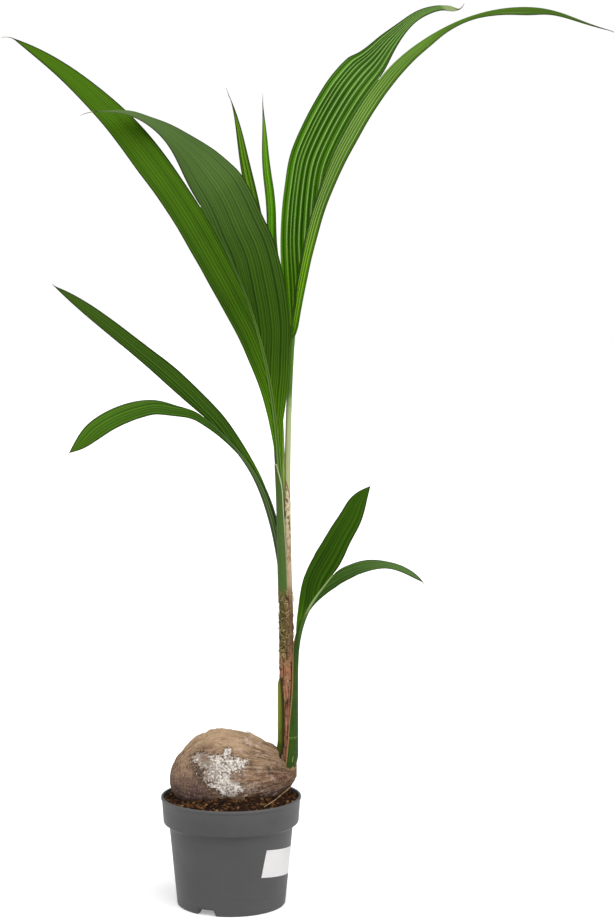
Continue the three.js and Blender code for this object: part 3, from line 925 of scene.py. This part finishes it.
web = {
    "foot": 288, "top": 395, "rows": 70, "steps": 50,
    "left": [83.7, 84, 84.2, 84.6, 88, 90.6], "right": [92.1, 92.1, 92.2, 93, 96, 100.4],
    "radius": [14.15, 11, 8, 5.6, 3.8, 3.2], "forward": 1.5,
    "wall": 1.3, "taper": 2.5, "openTop": 9, "ribs": 0.1,
}
scars = {
    "heights": (231, 233), "from": -88, "to": -20, "proud": 0.1, "radii": [0.22, 0.3, 0.5],
    "tones": (rgb(120, 150, 70), rgb(170, 180, 90)),
    "curlFrom": -66, "curlFoot": 199, "curlReach": 8, "curlProud": 0.5,
}


def sheathFinish():
    f = Finish("sheath_rind", sheath["deep"])
    edge = f.read("edge")
    around = f.read("around")
    z = f.axis("Z")
    line = f.grain(f.joined(around * 0.3, z * 0.02, 0), 1, 3)
    cloud = f.mottle(60, 3)
    f.tint((cloud * 0.3 + line * 0.7).between(0.4, 0.6), sheath["green"])
    # lime down the left edge, higher up: a painted highlight
    left = around.between(*sheath["limeFrom"]) * around.between(*sheath["highlightTo"])
    f.tint(left * (z + 50 * cloud).between(*sheath["highlightUp"]) * 0.9, sheath["lime"])
    right = around.between(*sheath["tealFrom"]) * around.between(*sheath["tealTo"])
    f.tint(right * 0.6, sheath["teal"])
    leftHalf = around.between(*sheath["leftHalf"])
    margin = f.mix(leftHalf, sheath["margin"], sheath["shadow"])
    f.tint((edge + cloud).between(2.1 * (1 + 1.4 * leftHalf), 1.2) * 0.9, margin)
    spot = f.mottle(130, 3).between(0.66, 0.72)
    f.tint(spot * 0.4, sheath["spot"])
    return f.wear(sheath["rough"] + 0.15 * cloud, sheath["shine"], Normal=f.bump(line, 0.25, 0.3))


def sheathOutline(z):
    left = sheath["axis"] - sheath["radius"] - sheath["flare"] * eased(*sheath["flareFrom"], z)
    right = sheath["axis"] + sheath["radius"] - sheath["tuck"] * eased(*sheath["tuckFrom"], z)
    return (left + right) / 2, 0 * z, (right - left) / 2


def webOutline(z):
    share = (z - web["foot"]) / (web["top"] - web["foot"])
    r = keyed(web["radius"], share)
    return keyed(web["right"], share) - r, -web["forward"] * eased(0, 1, share), r


# the web's arc, wide enough at each height to reach from its left edge to its right one
def webArc():
    share = np.linspace(0, 1, 12)
    left, right, r = [keyed(web[key], share) for key in ("left", "right", "radius")]
    half = np.arccos(np.clip((left - right + r) / r, -0.97, 1)) / rad
    return {"from": -half, "to": half}


def makeScars():
    a = np.linspace(scars["from"], scars["to"], 20) * rad
    ring = sheath["radius"] + scars["proud"]
    lines = [roundAt(ring, a, z, sheath["axis"]) for z in scars["heights"]]
    t = np.linspace(0, 1, 12)
    curl = (scars["curlFrom"] + scars["curlReach"] * t) * rad
    rise = scars["curlFoot"] + scars["curlReach"] * t + 2 * np.sin(3 * t)
    lines.append(roundAt(ring + scars["curlProud"], curl, rise, sheath["axis"]))
    strands("sheath_scars", lines, scars["radii"], strandFinish("scar", *scars["tones"]))


sheathRind = sheathFinish()
makeWrap("stem_sheath", sheath, sheathOutline, sheathRind, ["sheath"])
makeWrap("sheath_web", web | webArc(), webOutline, sheathRind)
makeScars()
print("sheath: wrap, web and scars")

# leaves: each a stalk that bends as its keys say, with two pleated lobes that leave it at the split
leaves = [
    {
        "name": "leaf_top_left", "foot": (71.3, -3, 422.3), "length": 550, "bladeFrom": 0.36,
        "tilts": [1.5, 2.3, 9, 21, 34], "heads": [-160, -160], "radii": [5.2, 5.1, 4, 2.6, 1.4],
        # its last tone, darker from along 0.6 on, is painted shadow from the upper lobe's edge lying over the
        # stalk
        "tones": [rgb(78, 108, 40), (0.3, 0.4, rgb(76, 116, 24)), (0.6, 0.8, rgb(60, 96, 20))],
        "lightAndShadeStripes": [
            (-1.2, -0.7, rgb(34, 56, 10), 0.8),
            (-0.5, -0.3, rgb(138, 172, 78), 0.6),
            (-0.1, 0.1, rgb(30, 60, 4), 0.85),
            (0.3, 0.5, rgb(134, 170, 76), 0.6),
            (0.7, 0.85, rgb(30, 60, 4), 0.85),
        ],
        "lightAndShadeStripesEnd": (0.85, 0.55),
        "lobes": [{
            "name": "lower", "free": 334.5, "start": -0.03, "round": 30, "face": 1,
            "tilts": [34, 37.5, 48.5, 57.3, 72], "heads": [-160, -165, -170],
            "widths": [5, 16, 33, 49, 54.5, 48.5, 45.5, 35.5, 27, 23.5],
            "turns": [-60, -60, -60, -70, -80, -85], "pleats": 13, "depth": 0.16,
            "deep": rgb(40, 74, 0), "bright": rgb(66, 106, 4), "far": rgb(92, 142, 10),
            "line": rgb(118, 152, 70), "lines": 0.22, "thread": (15, -0.3),
        }, {
            "name": "upper", "parts": ["base", "mid", "tip"], "free": 258, "start": -0.025, "round": 30,
            "face": -1,
            "tilts": [34, 28, 61, 87, 93], "heads": [-160, -135, -105],
            "widths": [8, 10.5, 19.5, 28.5, 37, 46, 53, 59, 64, 66, 71, 74, 70, 48, 27.5, 19, 11, 7, 5],
            "turns": [47, 52, 63, 80, 106, 137, 165], "pleats": 20, "depth": 0.11,
            "deep": rgb(38, 70, 0), "bright": rgb(62, 100, 6), "far": rgb(108, 132, 82),
            "line": rgb(118, 148, 86), "lines": 0.24, "rimEnd": (0.9, 0.7), "thread": (19, -0.2),
            "threadWay": (94, -175),
        }],
    },
    {
        "name": "leaf_top_right", "foot": (80.2, 0, 422.3), "length": 725, "bladeFrom": 0.5,
        "tilts": [-2.5, 0.8, 4.7, 18, 39], "heads": [8, 14], "radii": [4, 4.2, 3.8, 2.5, 1.4],
        "tones": [
            rgb(196, 200, 146), (0.25, 0.36, rgb(190, 208, 144)),
            (0.34, 0.4, rgb(84, 128, 32)), (0.5, 0.56, rgb(50, 84, 14)),
        ],
        "lightAndShadeStripes": [(0.6, 1.2, rgb(112, 112, 58), 0.7)],
        "lightAndShadeStripesEnd": (0.5, 0.44),
        "lobes": [{
            "name": "upper", "free": 195, "start": -0.05, "blunt": 40, "face": 1,
            "tilts": [39, 26.5, 33.5, 45.5, 64, 76, 90.5, 71], "heads": [14, 35, 60],
            "widths": [7, 16, 24.5, 33, 41, 48, 55, 56, 55.5, 54.5, 49, 31, 16.5, 12.5, 11, 22],
            "turns": [85, 90, 92, 90, 70, 50, 45], "pleats": 8, "depth": 0.45,
            "deep": rgb(46, 96, 0), "bright": rgb(86, 146, 14), "far": rgb(104, 138, 74),
            "line": rgb(174, 212, 124), "lines": 0.85, "end": rgb(176, 190, 134), "thread": (8, 0.9),
            "threadWay": (80, 10), "threadRadius": 1.1,
        }, {
            "name": "lower", "parts": ["base", "mid", "tip"], "free": 351, "start": -0.012, "round": 22,
            "face": -1,
            "tilts": [39, 53, 63, 76, 91.5, 111, 107], "heads": [14, 5, -10],
            "widths": [17, 23, 28, 31, 33, 37, 41, 44, 44, 43, 43, 38.5, 23.5, 16, 23.5, 31, 20, 15, 12],
            "turns": [190, 192, 193, 194, 194, 205, 200], "pleats": 6, "depth": 0.4,
            "deep": rgb(56, 98, 8), "bright": rgb(104, 150, 34), "far": rgb(48, 66, 20),
            "line": rgb(182, 210, 136), "lines": 0.8, "ridgeHighlightEnd": (0.7, 0.4), "foot": rgb(102, 174, 2),
            "footRidgeHighlight": rgb(162, 216, 44), "rimStart": (-1, -0.5), "thread": (10, -0.3),
        }],
    },
    {
        "name": "leaf_mid_left", "foot": (72.2, 8, 422.3), "length": 280, "bladeFrom": 0.45,
        "tilts": [1, 10, 22, 41, 52], "heads": [165, 165], "radii": [4.6, 6.2, 5.9, 3.4, 1.3],
        "tones": [rgb(66, 92, 36), (0.4, 0.6, rgb(62, 96, 32))],
        "lightAndShadeStripes": [
            (-1.2, -0.3, rgb(24, 44, 12), 0.85),
            (-0.12, -0.02, rgb(146, 176, 100), 0.75),
            (0.12, 0.24, rgb(24, 46, 10), 0.85),
            (0.36, 0.44, rgb(146, 176, 100), 0.75),
            (0.6, 1.2, rgb(28, 50, 14), 0.8),
        ],
        "lobes": [{
            "name": "upper", "free": 275.5, "face": -1,
            "tilts": [52, 49, 51, 50.4, 45], "heads": [165, 170, 175],
            "widths": [4, 9.5, 22, 27, 22.6, 20.5, 18],
            "turns": [80, 80], "pleats": 7, "depth": 0.18,
            "deep": rgb(44, 80, 8), "bright": rgb(74, 114, 24), "far": rgb(80, 116, 30),
            "line": rgb(112, 148, 72), "lines": 0.3, "thread": (4, 0),
        }, {
            "name": "lower", "parts": ["base", "mid", "tip"], "free": 220, "blunt": 16, "face": 1,
            "tilts": [52, 75, 74, 92, 105, 115.5, 127, 147, 153], "heads": [165, 180, 195],
            "widths": [2, 3, 8.5, 20, 29, 30.5, 33],
            "turns": [-40, -35, -30, -35, -50, -60, -65], "pleats": 7, "depth": 0.16,
            "deep": rgb(46, 84, 10), "bright": rgb(76, 118, 24), "far": rgb(82, 126, 24),
            "line": rgb(116, 154, 70), "lines": 0.3, "thread": (7, 0.6),
        }],
    },
    {
        "name": "leaf_low_right", "foot": (89, -1, 300.4), "length": 170, "bladeFrom": 0.38,
        "tilts": [0, 3.5, 17, 34, 39], "heads": [-15, -15], "radii": [3, 3, 2.8, 2.2, 1.3],
        "tones": [rgb(64, 96, 22), (0.4, 0.5, rgb(64, 104, 20)), (0.55, 0.7, rgb(156, 184, 116))],
        "lightAndShadeStripes": [(0.5, 1.2, rgb(150, 132, 64), 0.6), (-1.2, -0.6, rgb(26, 56, 18), 0.6)],
        "lobes": [{
            "name": "upper", "free": 132, "face": 1,
            "tilts": [39, 23, 28.5, 14, 13.5], "heads": [-15, 0, 10],
            "widths": [3, 13, 29.5, 37, 33.5, 32.5, 35.5],
            "turns": [105, 105, 100, 95, 90, 90], "pleats": 7, "depth": 0.09,
            "deep": rgb(38, 72, 2), "bright": rgb(60, 100, 8), "far": rgb(58, 96, 10),
            "line": rgb(98, 136, 58), "lines": 0.15, "thread": (3, 0),
        }, {
            "name": "lower", "parts": ["base", "mid", "tip"], "free": 144.5, "start": 0.16, "face": -1,
            "tilts": [39, 63.5, 70, 82, 93, 99, 108.5, 121, 138], "heads": [-15, -25, -35],
            "widths": [1, 2, 4.5, 11.5, 21, 24, 25.5, 17, 15.5, 18],
            "turns": [-115, -115, -120, -130, -150, -160, -160], "pleats": 6, "depth": 0.2,
            "deep": rgb(42, 76, 12), "bright": rgb(74, 112, 36), "far": rgb(96, 124, 70),
            "line": rgb(108, 142, 76), "lines": 0.3, "thread": (5, 0),
        }],
    },
    {
        "name": "spear", "foot": (80.6, 8.6, 422.3), "length": 455, "bladeFrom": 0.75,
        "tilts": [2.2, 4.3, 2.4, 1.9, 13], "heads": [140, 150], "radii": [3.4, 3.2, 2.8, 2.2, 1.3],
        "tones": [rgb(120, 142, 60), (0.3, 0.6, rgb(76, 116, 28))],
        "lobes": [{
            "name": "left", "parts": [], "free": 232, "face": 1,
            "tilts": [13, 12, 15, 15, 25], "heads": [150, 165],
            "widths": [4, 8, 13, 16, 16, 11, 4],
            "turns": [-90, -90], "pleats": 3, "depth": 0.35,
            "deep": rgb(66, 116, 4), "bright": rgb(122, 182, 20), "far": rgb(104, 152, 24),
            "line": rgb(176, 208, 90), "lines": 0.4, "thread": (11, 0.3),
        }, {
            "name": "right", "parts": [], "free": 218, "face": -1,
            "tilts": [13, 2, 9, -2, 1], "heads": [150, 120],
            "widths": [4, 8, 13, 16, 17, 14, 5],
            "turns": [90, 90], "pleats": 3, "depth": 0.35,
            "deep": rgb(66, 130, 4), "bright": rgb(124, 214, 16), "far": rgb(122, 184, 30),
            "line": rgb(176, 212, 90), "lines": 0.4, "thread": (8, 0.3),
        }],
    },
]

stalk = {
    "pitch": 3, "sides": 28, "channel": 0.22, "ribs": 0.05, "lightAndShadeStripesEnd": (1.2, 1.1), "soft": 0.1,
    "dark": rgb(46, 70, 24), "pale": rgb(160, 176, 96), "rough": 0.42, "shine": 0.22,
}


def stalkFinish(leaf):
    f = Finish(leaf["name"] + "_rind", leaf["tones"][0])
    along = f.read("along")
    fine = f.grain(f.joined(f.read("around") * 46, along * leaf["length"] / 45, 0), 1, 3)
    cloud = f.mottle(45, 3)
    for start, end, tone in leaf["tones"][1:]:
        f.tint((along + 0.06 * cloud - 0.03).between(start, end), tone)
    f.tint(fine.between(0.5, 0.7) * 0.35, stalk["dark"])
    f.tint(fine.between(0.45, 0.3) * 0.25, stalk["pale"])
    side = f.read("side")
    soft = stalk["soft"]
    # stripes round the stalk by its side, mostly painted light and shade: dark ones are painted shade under
    # it, at its flanks and by its channel, pale ones painted highlights and sheen
    shown = along.between(*leaf.get("lightAndShadeStripesEnd", stalk["lightAndShadeStripesEnd"]))
    for low, high, tone, share in leaf.get("lightAndShadeStripes", []):
        stripe = side.between(low - soft, low + soft) * side.between(high + soft, high - soft)
        f.tint(stripe * share * shown, tone)
    return f.wear(stalk["rough"] + 0.15 * cloud, stalk["shine"], Normal=f.bump(fine, 0.3, 0.25))


def stalkLine(leaf, steps):
    return walk(leaf["foot"], leaf["length"], leaf["tilts"], leaf["heads"], steps)


def makeStalk(leaf):
    rows = int(leaf["length"] / stalk["pitch"])
    line = stalkLine(leaf, rows)
    t = np.linspace(0, 1, rows + 1)[:, None]
    a = turns(stalk["sides"])[None]
    channel = 1 - stalk["channel"] * eased(0.75, 1, np.sin(a)) * eased(0.05, 0.3, t)
    ribs = 1 + stalk["ribs"] * uneven(roundAt(4, a, t * 3), 1, 2)
    r = (keyed(leaf["radii"], t) * channel * ribs)[..., None]
    above = line["above"].copy()
    above[0] = unit(above[0] * np.array([1, 1, 0]))  # its foot is cut level
    out = line["across"][:, None] * (r * np.cos(a)[..., None]) + above[:, None] * (r * np.sin(a)[..., None])
    points = line["at"][:, None] + out
    values = {"along": t, "around": np.abs(a / math.pi - 1), "side": np.sin(a)}
    faces = rodFaces(*points.shape[:2])
    nodes = [leaf["name"] + "_stalk"]
    piece(leaf["name"] + "_rib", points, faces, stalkFinish(leaf), nodes, values)


# what the lobes share, unless a lobe says otherwise
blade = {
    "pitch": 4.5, "steps": 160, "samples": 8, "thick": 0.9, "camber": 0.05, "wave": 0.025, "crease": 62,
    "parts": ["base", "tip"], "start": 0, "blunt": 12, "round": 12, "tipWidth": 0.8,
    "seat": 0.45, "freeSeat": 0.25, "veins": 5, "spacing": (0.65, 1.4),
    "ridgeHighlightEnd": (1.2, 1.0), "rimStart": (0.1, 0.5), "rimEnd": (1.2, 1.0),
    "foot": rgb(92, 144, 12), "footRidgeHighlight": rgb(128, 176, 44), "grooveShade": rgb(20, 42, 4),
    "margin": rgb(38, 44, 20), "tipBrown": rgb(96, 74, 48), "underside": rgb(128, 152, 98),
    "rough": 0.42, "shine": 0.06, "threadRadius": 0.55, "threadTones": (rgb(90, 72, 58), rgb(178, 168, 154)),
}


def lobeFinish(name, lobe):
    f = Finish(name + "_skin", lobe["deep"])
    along = f.read("along")
    ridge = f.read("ridge")
    under = f.read("under")
    vein = f.grain(f.joined(f.read("run") * lobe["veins"], along * 4, under), 1, 4, 0.6)
    cloud = f.mottle(16, 2)
    # pleat faces lit and shaded in paint by the shade value, mixed with the veins and cloud
    tone = 0.4 * f.read("shade") + 0.35 * vein + 0.25 * cloud
    f.tint(tone.between(0.28, 0.68), lobe["bright"])
    f.tint(along.between(0.25, 0.02) * 0.6, lobe["foot"])
    # towards the tip the far colour paints how the light falls there: mostly a paler painted sheen where the
    # lobe turns up, darker painted shade on some tails
    f.tint(along.between(0.3, 1.0) * 0.6, lobe["far"])
    # darker down each pleat's groove: painted shade
    f.tint(ridge.between(0.4, 0.0) * (0.2 + 0.6 * lobe["lines"]), lobe["grooveShade"])
    # pale fine veins, in the line colour that also paints the ridge highlights
    f.tint(vein.between(0.58, 0.74) * 0.25, lobe["line"])
    # a pale line along each pleat's ridge, stronger near the foot: painted highlight
    lines = lobe["lines"] * along.between(*lobe["ridgeHighlightEnd"]) * (1 + 2 * along.between(0.3, 0.03))
    line = f.mix(along.between(0.3, 0.1), lobe["line"], lobe["footRidgeHighlight"])
    f.tint(ridge.between(0.66, 0.96) * lines, line)
    f.tint(under * 0.5, lobe["underside"])
    edge = f.read("rim").between(2, 0.9) * along.between(*lobe["rimEnd"]) * along.between(*lobe["rimStart"])
    f.tint(edge * 0.85, lobe["margin"])
    f.tint((along + 0.01 * cloud).between(0.992, 1.003) * 0.8, lobe["tipBrown"])
    if "end" in lobe:
        f.tint(along.between(0.92, 0.95) * along.between(1.0, 0.98) * 0.75, lobe["end"])
    normal = f.bump(vein + 0.3 * cloud, 0.25, 0.35)
    return f.wear(lobe["rough"] + 0.16 * cloud + 0.1 * under, lobe["shine"], Normal=normal)


# rows along a lobe: its inner edge runs on the stalk, then free to the tip
def lobeRows(leaf, lobe):
    held = stalkLine(leaf, lobe["steps"])
    free = walk(held["at"][-1], lobe["free"], lobe["tilts"], lobe["heads"], lobe["steps"])
    bladeHeld = leaf["length"] * (1 - leaf["bladeFrom"])
    whole = bladeHeld + lobe["free"]
    t = np.linspace(lobe["start"], 1, int(whole / lobe["pitch"]) + 1)
    onStalk = t * whole < bladeHeld
    heldShare = leaf["bladeFrom"] + t * whole / leaf["length"]
    freeShare = (t * whole - bladeHeld) / lobe["free"]
    rows = {}
    for key in held:
        rows[key] = np.where(onStalk[:, None], sampled(held[key], heldShare), sampled(free[key], freeShare))
    fade = np.where(onStalk, 1, np.maximum(0, 1 - freeShare / lobe["freeSeat"]))
    rows["seat"] = keyed(leaf["radii"], np.minimum(heldShare, 1)) * fade * lobe["seat"]
    rows["grown"] = (t - t[0]) * whole
    rows["clear"] = np.where(onStalk, leaf["length"], 0)
    return rows, t


# pleats across a lobe: each point's share of the way out to the margin, its place among the pleats
# and its shade, a painted light and shade drawn at random for each face of a pleat, and how many pleats there
# are in its row
def lobePleats(lobe, width, rng):
    pleats = lobe["pleats"]
    marks = np.arange(pleats + 1)
    edges = np.append(0, np.cumsum(rng.uniform(*lobe["spacing"], pleats)))
    edges = edges * pleats / edges[-1]
    shades = rng.random(2 * pleats + 1)
    inmost = np.maximum(0.3, pleats * np.maximum.accumulate(width) / width.max())[:, None]
    run = np.minimum(np.linspace(0, pleats, pleats * lobe["samples"] + 1)[None], inmost)
    u = 1 - np.interp(run, marks, edges) / np.interp(inmost, marks, edges)
    shade = np.interp(2 * run, np.arange(2 * pleats + 1), shades)
    return u, run, shade, inmost


def makeLobe(leaf, lobe):
    name = leaf["name"] + "_" + lobe["name"]
    rng = np.random.default_rng(sum(map(ord, name)))
    rows, t = lobeRows(leaf, lobe)
    turn = keyed(lobe["turns"], t)[:, None] * rad
    out = unit(rows["across"] * np.cos(turn) + rows["above"] * np.sin(turn))
    up = (unit(np.cross(rows["along"], out)) * lobe["face"])[:, None]
    base = 1 - np.clip(rows["grown"] / lobe["round"], 0, 1)
    width = keyed(lobe["widths"], t) * (1 - t ** lobe["blunt"]) * np.sqrt(1 - base**2)
    span = np.maximum(lobe["tipWidth"], width - rows["seat"])[:, None]
    u, run, shade, inmost = lobePleats(lobe, width, rng)
    ridge = np.abs(2 * (run % 1) - 1)
    fold = lobe["depth"] * span / inmost * (ridge - 0.5) * eased(0, 0.6, u * inmost)
    wave = uneven(xyz(t[:, None] * 9, u * 1.5, len(lobe["name"])), 1, 2)
    lift = fold - (lobe["camber"] * u**2 - lobe["wave"] * wave * u) * width[:, None]
    mid = rows["at"][:, None] + out[:, None] * (rows["seat"][:, None] + u * span)[..., None]
    mid = mid + up * lift[..., None]
    half = up * (lobe["thick"] / 2 * (1 - 0.6 * u**6))[..., None]  # thinner towards the margin
    points = folded(mid + half, mid - half)
    rim = np.minimum((1 - u) * span, u * span + rows["clear"][:, None])
    values = {
        "along": t[:, None],
        "run": folded(run, run),
        "ridge": folded(ridge, 1 - ridge),
        "rim": folded(rim, rim),
        "shade": folded(shade, shade),
        "under": folded(0 * u, 1 + 0 * u),
    }
    faces = foldedFaces(*points.shape[:2])
    corners = gridCorners(*points.shape[:2])
    nodes = [name + "_" + part for part in lobe["parts"]] or [name]
    skin = lobeFinish(name, lobe)
    piece(name + "_lobe", points, faces, skin, nodes, values, lobe["crease"], corners)
    way = heading(*lobe["threadWay"]) if "threadWay" in lobe else rows["along"][-1]
    return tipThread(mid[-1].mean(0), way, *lobe["thread"])


# dry thread that carries on from a lobe's tip and bends up or down
def tipThread(start, along, length, bend):
    t = np.linspace(-0.2, 1, 12)[:, None]
    return start + along * length * t + np.array([0, 0, 1]) * bend * length * np.maximum(t, 0) ** 2


# a flat place for each face's corners: the wall unrolled, its ends in thin strips
def gridCorners(rows, count):
    i, j = np.meshgrid(np.arange(rows - 1), np.arange(count), indexing="ij")
    ring = [(j, i), (j + 1, i), (j + 1, i + 1), (j, i + 1)]
    wall = np.stack([np.stack([x / count, 0.01 + 0.98 * y / (rows - 1)], -1) for x, y in ring], 2)
    ends = []
    for j in range(count // 2 - 1):
        near = j / count
        far = (j + 1) / count
        ends += [(near, 0), (near, 0.005), (far, 0.005), (far, 0)]
        ends += [(near, 0.995), (far, 0.995), (far, 1), (near, 1)]
    return np.vstack([wall.reshape(-1, 2), ends])


threads = []
radii = []
for leaf in leaves:
    makeStalk(leaf)
    for lobe in leaf["lobes"]:
        lobe = blade | lobe
        threads.append(makeLobe(leaf, lobe))
        radii.append(lobe["threadRadius"])
    print("leaf:", leaf["name"])
strands("tip_threads", threads, radii, strandFinish("dry_tip", *blade["threadTones"]), 6)

# sleeves at the stalks' feet, the folded young leaf between them, and a collar of husk round the shoot
rind = {"flecksUp": (470, 560), "rough": 0.5, "shine": 0.2}
sleeves = [
    {
        "name": "green_sleeve", "leaf": 0, "foot": 417, "top": 607, "rows": 100, "steps": 50,
        "from": [20, 30, 40, 60, 90, 130, 190], "to": [350, 350, 345, 335, 322, 312, 250],
        "gap": 0.5, "flare": 0.7, "flareFrom": (570, 450), "wall": 0.7, "taper": 1.5, "ribs": 0.12,
        "tones": [rgb(104, 92, 50), (424, 446, rgb(80, 110, 46)), (500, 600, rgb(74, 102, 36))],
        "margin": rgb(196, 206, 160), "fleck": rgb(58, 84, 30), "flecks": 0.25,
    },
    {
        "name": "tan_sleeve", "leaf": 1, "foot": 417, "top": 584, "rows": 110, "steps": 44,
        "from": [180, 180, 185, 190, 200, 215, 236], "to": [400, 400, 395, 390, 380, 345, 252],
        "gap": 0.5, "fray": 14, "wall": 0.6, "taper": 1.5, "ribs": 0.12,
        "tones": [rgb(150, 120, 88), (424, 450, rgb(214, 188, 154)), (480, 550, rgb(242, 228, 184))],
        "margin": rgb(150, 116, 78), "fleck": rgb(104, 72, 40), "flecks": 0.85,
    },
]
collar = {
    "name": "husk_collar", "foot": 176, "top": 191, "ragged": 5, "rows": 24, "steps": 90,
    "from": [-155, -155], "to": [75, 75], "gap": 0.8, "wall": 1.8, "taper": 4, "ribs": 0.5,
    "tones": [rgb(112, 86, 66), (186, 192, rgb(168, 138, 96))],
    "margin": rgb(150, 122, 84), "fleck": rgb(70, 50, 36), "flecks": 0,
}
youngLeaf = {
    "line": [(72.4, -3.6, 552), (71.8, -3.6, 585), (71.3, -3.4, 615), (71.6, -3, 645)],
    "radius": 2.2, "rows": 40, "sides": 20, "rough": 0.45, "shine": 0.2,
    "deep": rgb(104, 138, 40), "bright": rgb(152, 186, 72),
}


def sleeveFinish(sleeve):
    f = Finish(sleeve["name"] + "_rind", sleeve["tones"][0])
    z = f.axis("Z")
    cloud = f.mottle(50, 3)
    line = f.grain(f.joined(f.read("around") * 0.35, z * 0.015, 0), 1, 3)
    for low, high, tone in sleeve["tones"][1:]:
        f.tint((z + 24 * cloud - 12).between(low, high), tone)
    f.tint(line.between(0.45, 0.65) * 0.3, sleeve["fleck"])
    fleck = f.grain(f.place((1, 1, 0.5)), 330, 3, 0.65).between(0.5, 0.57)
    f.tint(fleck * sleeve["flecks"] * (z + 80 * cloud).between(*rind["flecksUp"]), sleeve["fleck"])
    f.tint((f.read("edge") + 0.5 * cloud).between(2.3, 1.3), sleeve["margin"])
    return f.wear(rind["rough"] + 0.15 * cloud, rind["shine"], Normal=f.bump(line + 0.4 * fleck, 0.3, 0.3))


def makeSleeve(sleeve):
    leaf = leaves[sleeve["leaf"]]
    line = stalkLine(leaf, blade["steps"])["at"]
    radii = keyed(leaf["radii"], np.linspace(0, 1, len(line))) + sleeve["gap"]

    def outline(z):
        x, y, r = [np.interp(z, line[:, 2], column) for column in (line[:, 0], line[:, 1], radii)]
        if "flare" in sleeve:
            r = r + sleeve["flare"] * eased(*sleeve["flareFrom"], z)
        return x, y, r

    makeWrap(sleeve["name"], sleeve, outline, sleeveFinish(sleeve))


def makeYoungLeaf():
    t = np.linspace(0, 1, youngLeaf["rows"])
    radii = 0.05 + youngLeaf["radius"] * np.sin(math.pi * t) ** 0.7
    points = tube(curve(youngLeaf["line"], t), radii, youngLeaf["sides"])
    f = Finish("young_leaf", youngLeaf["deep"])
    streak = f.grain(f.place((900, 900, 25)), 1, 3)
    f.tint(streak.between(0.35, 0.65), youngLeaf["bright"])
    f.wear(youngLeaf["rough"] + 0.1 * streak, youngLeaf["shine"], Normal=f.bump(streak, 0.3, 0.3))
    piece("young_leaf", points, rodFaces(*points.shape[:2]), f)


def collarOutline(z):
    x, y, r = sheathOutline(z)
    return x, y, r + collar["gap"]


for sleeve in sleeves:
    makeSleeve(sleeve)
makeYoungLeaf()
makeWrap(collar["name"], collar, collarOutline, sleeveFinish(collar))
print("sleeves: green, tan, young leaf, husk collar")
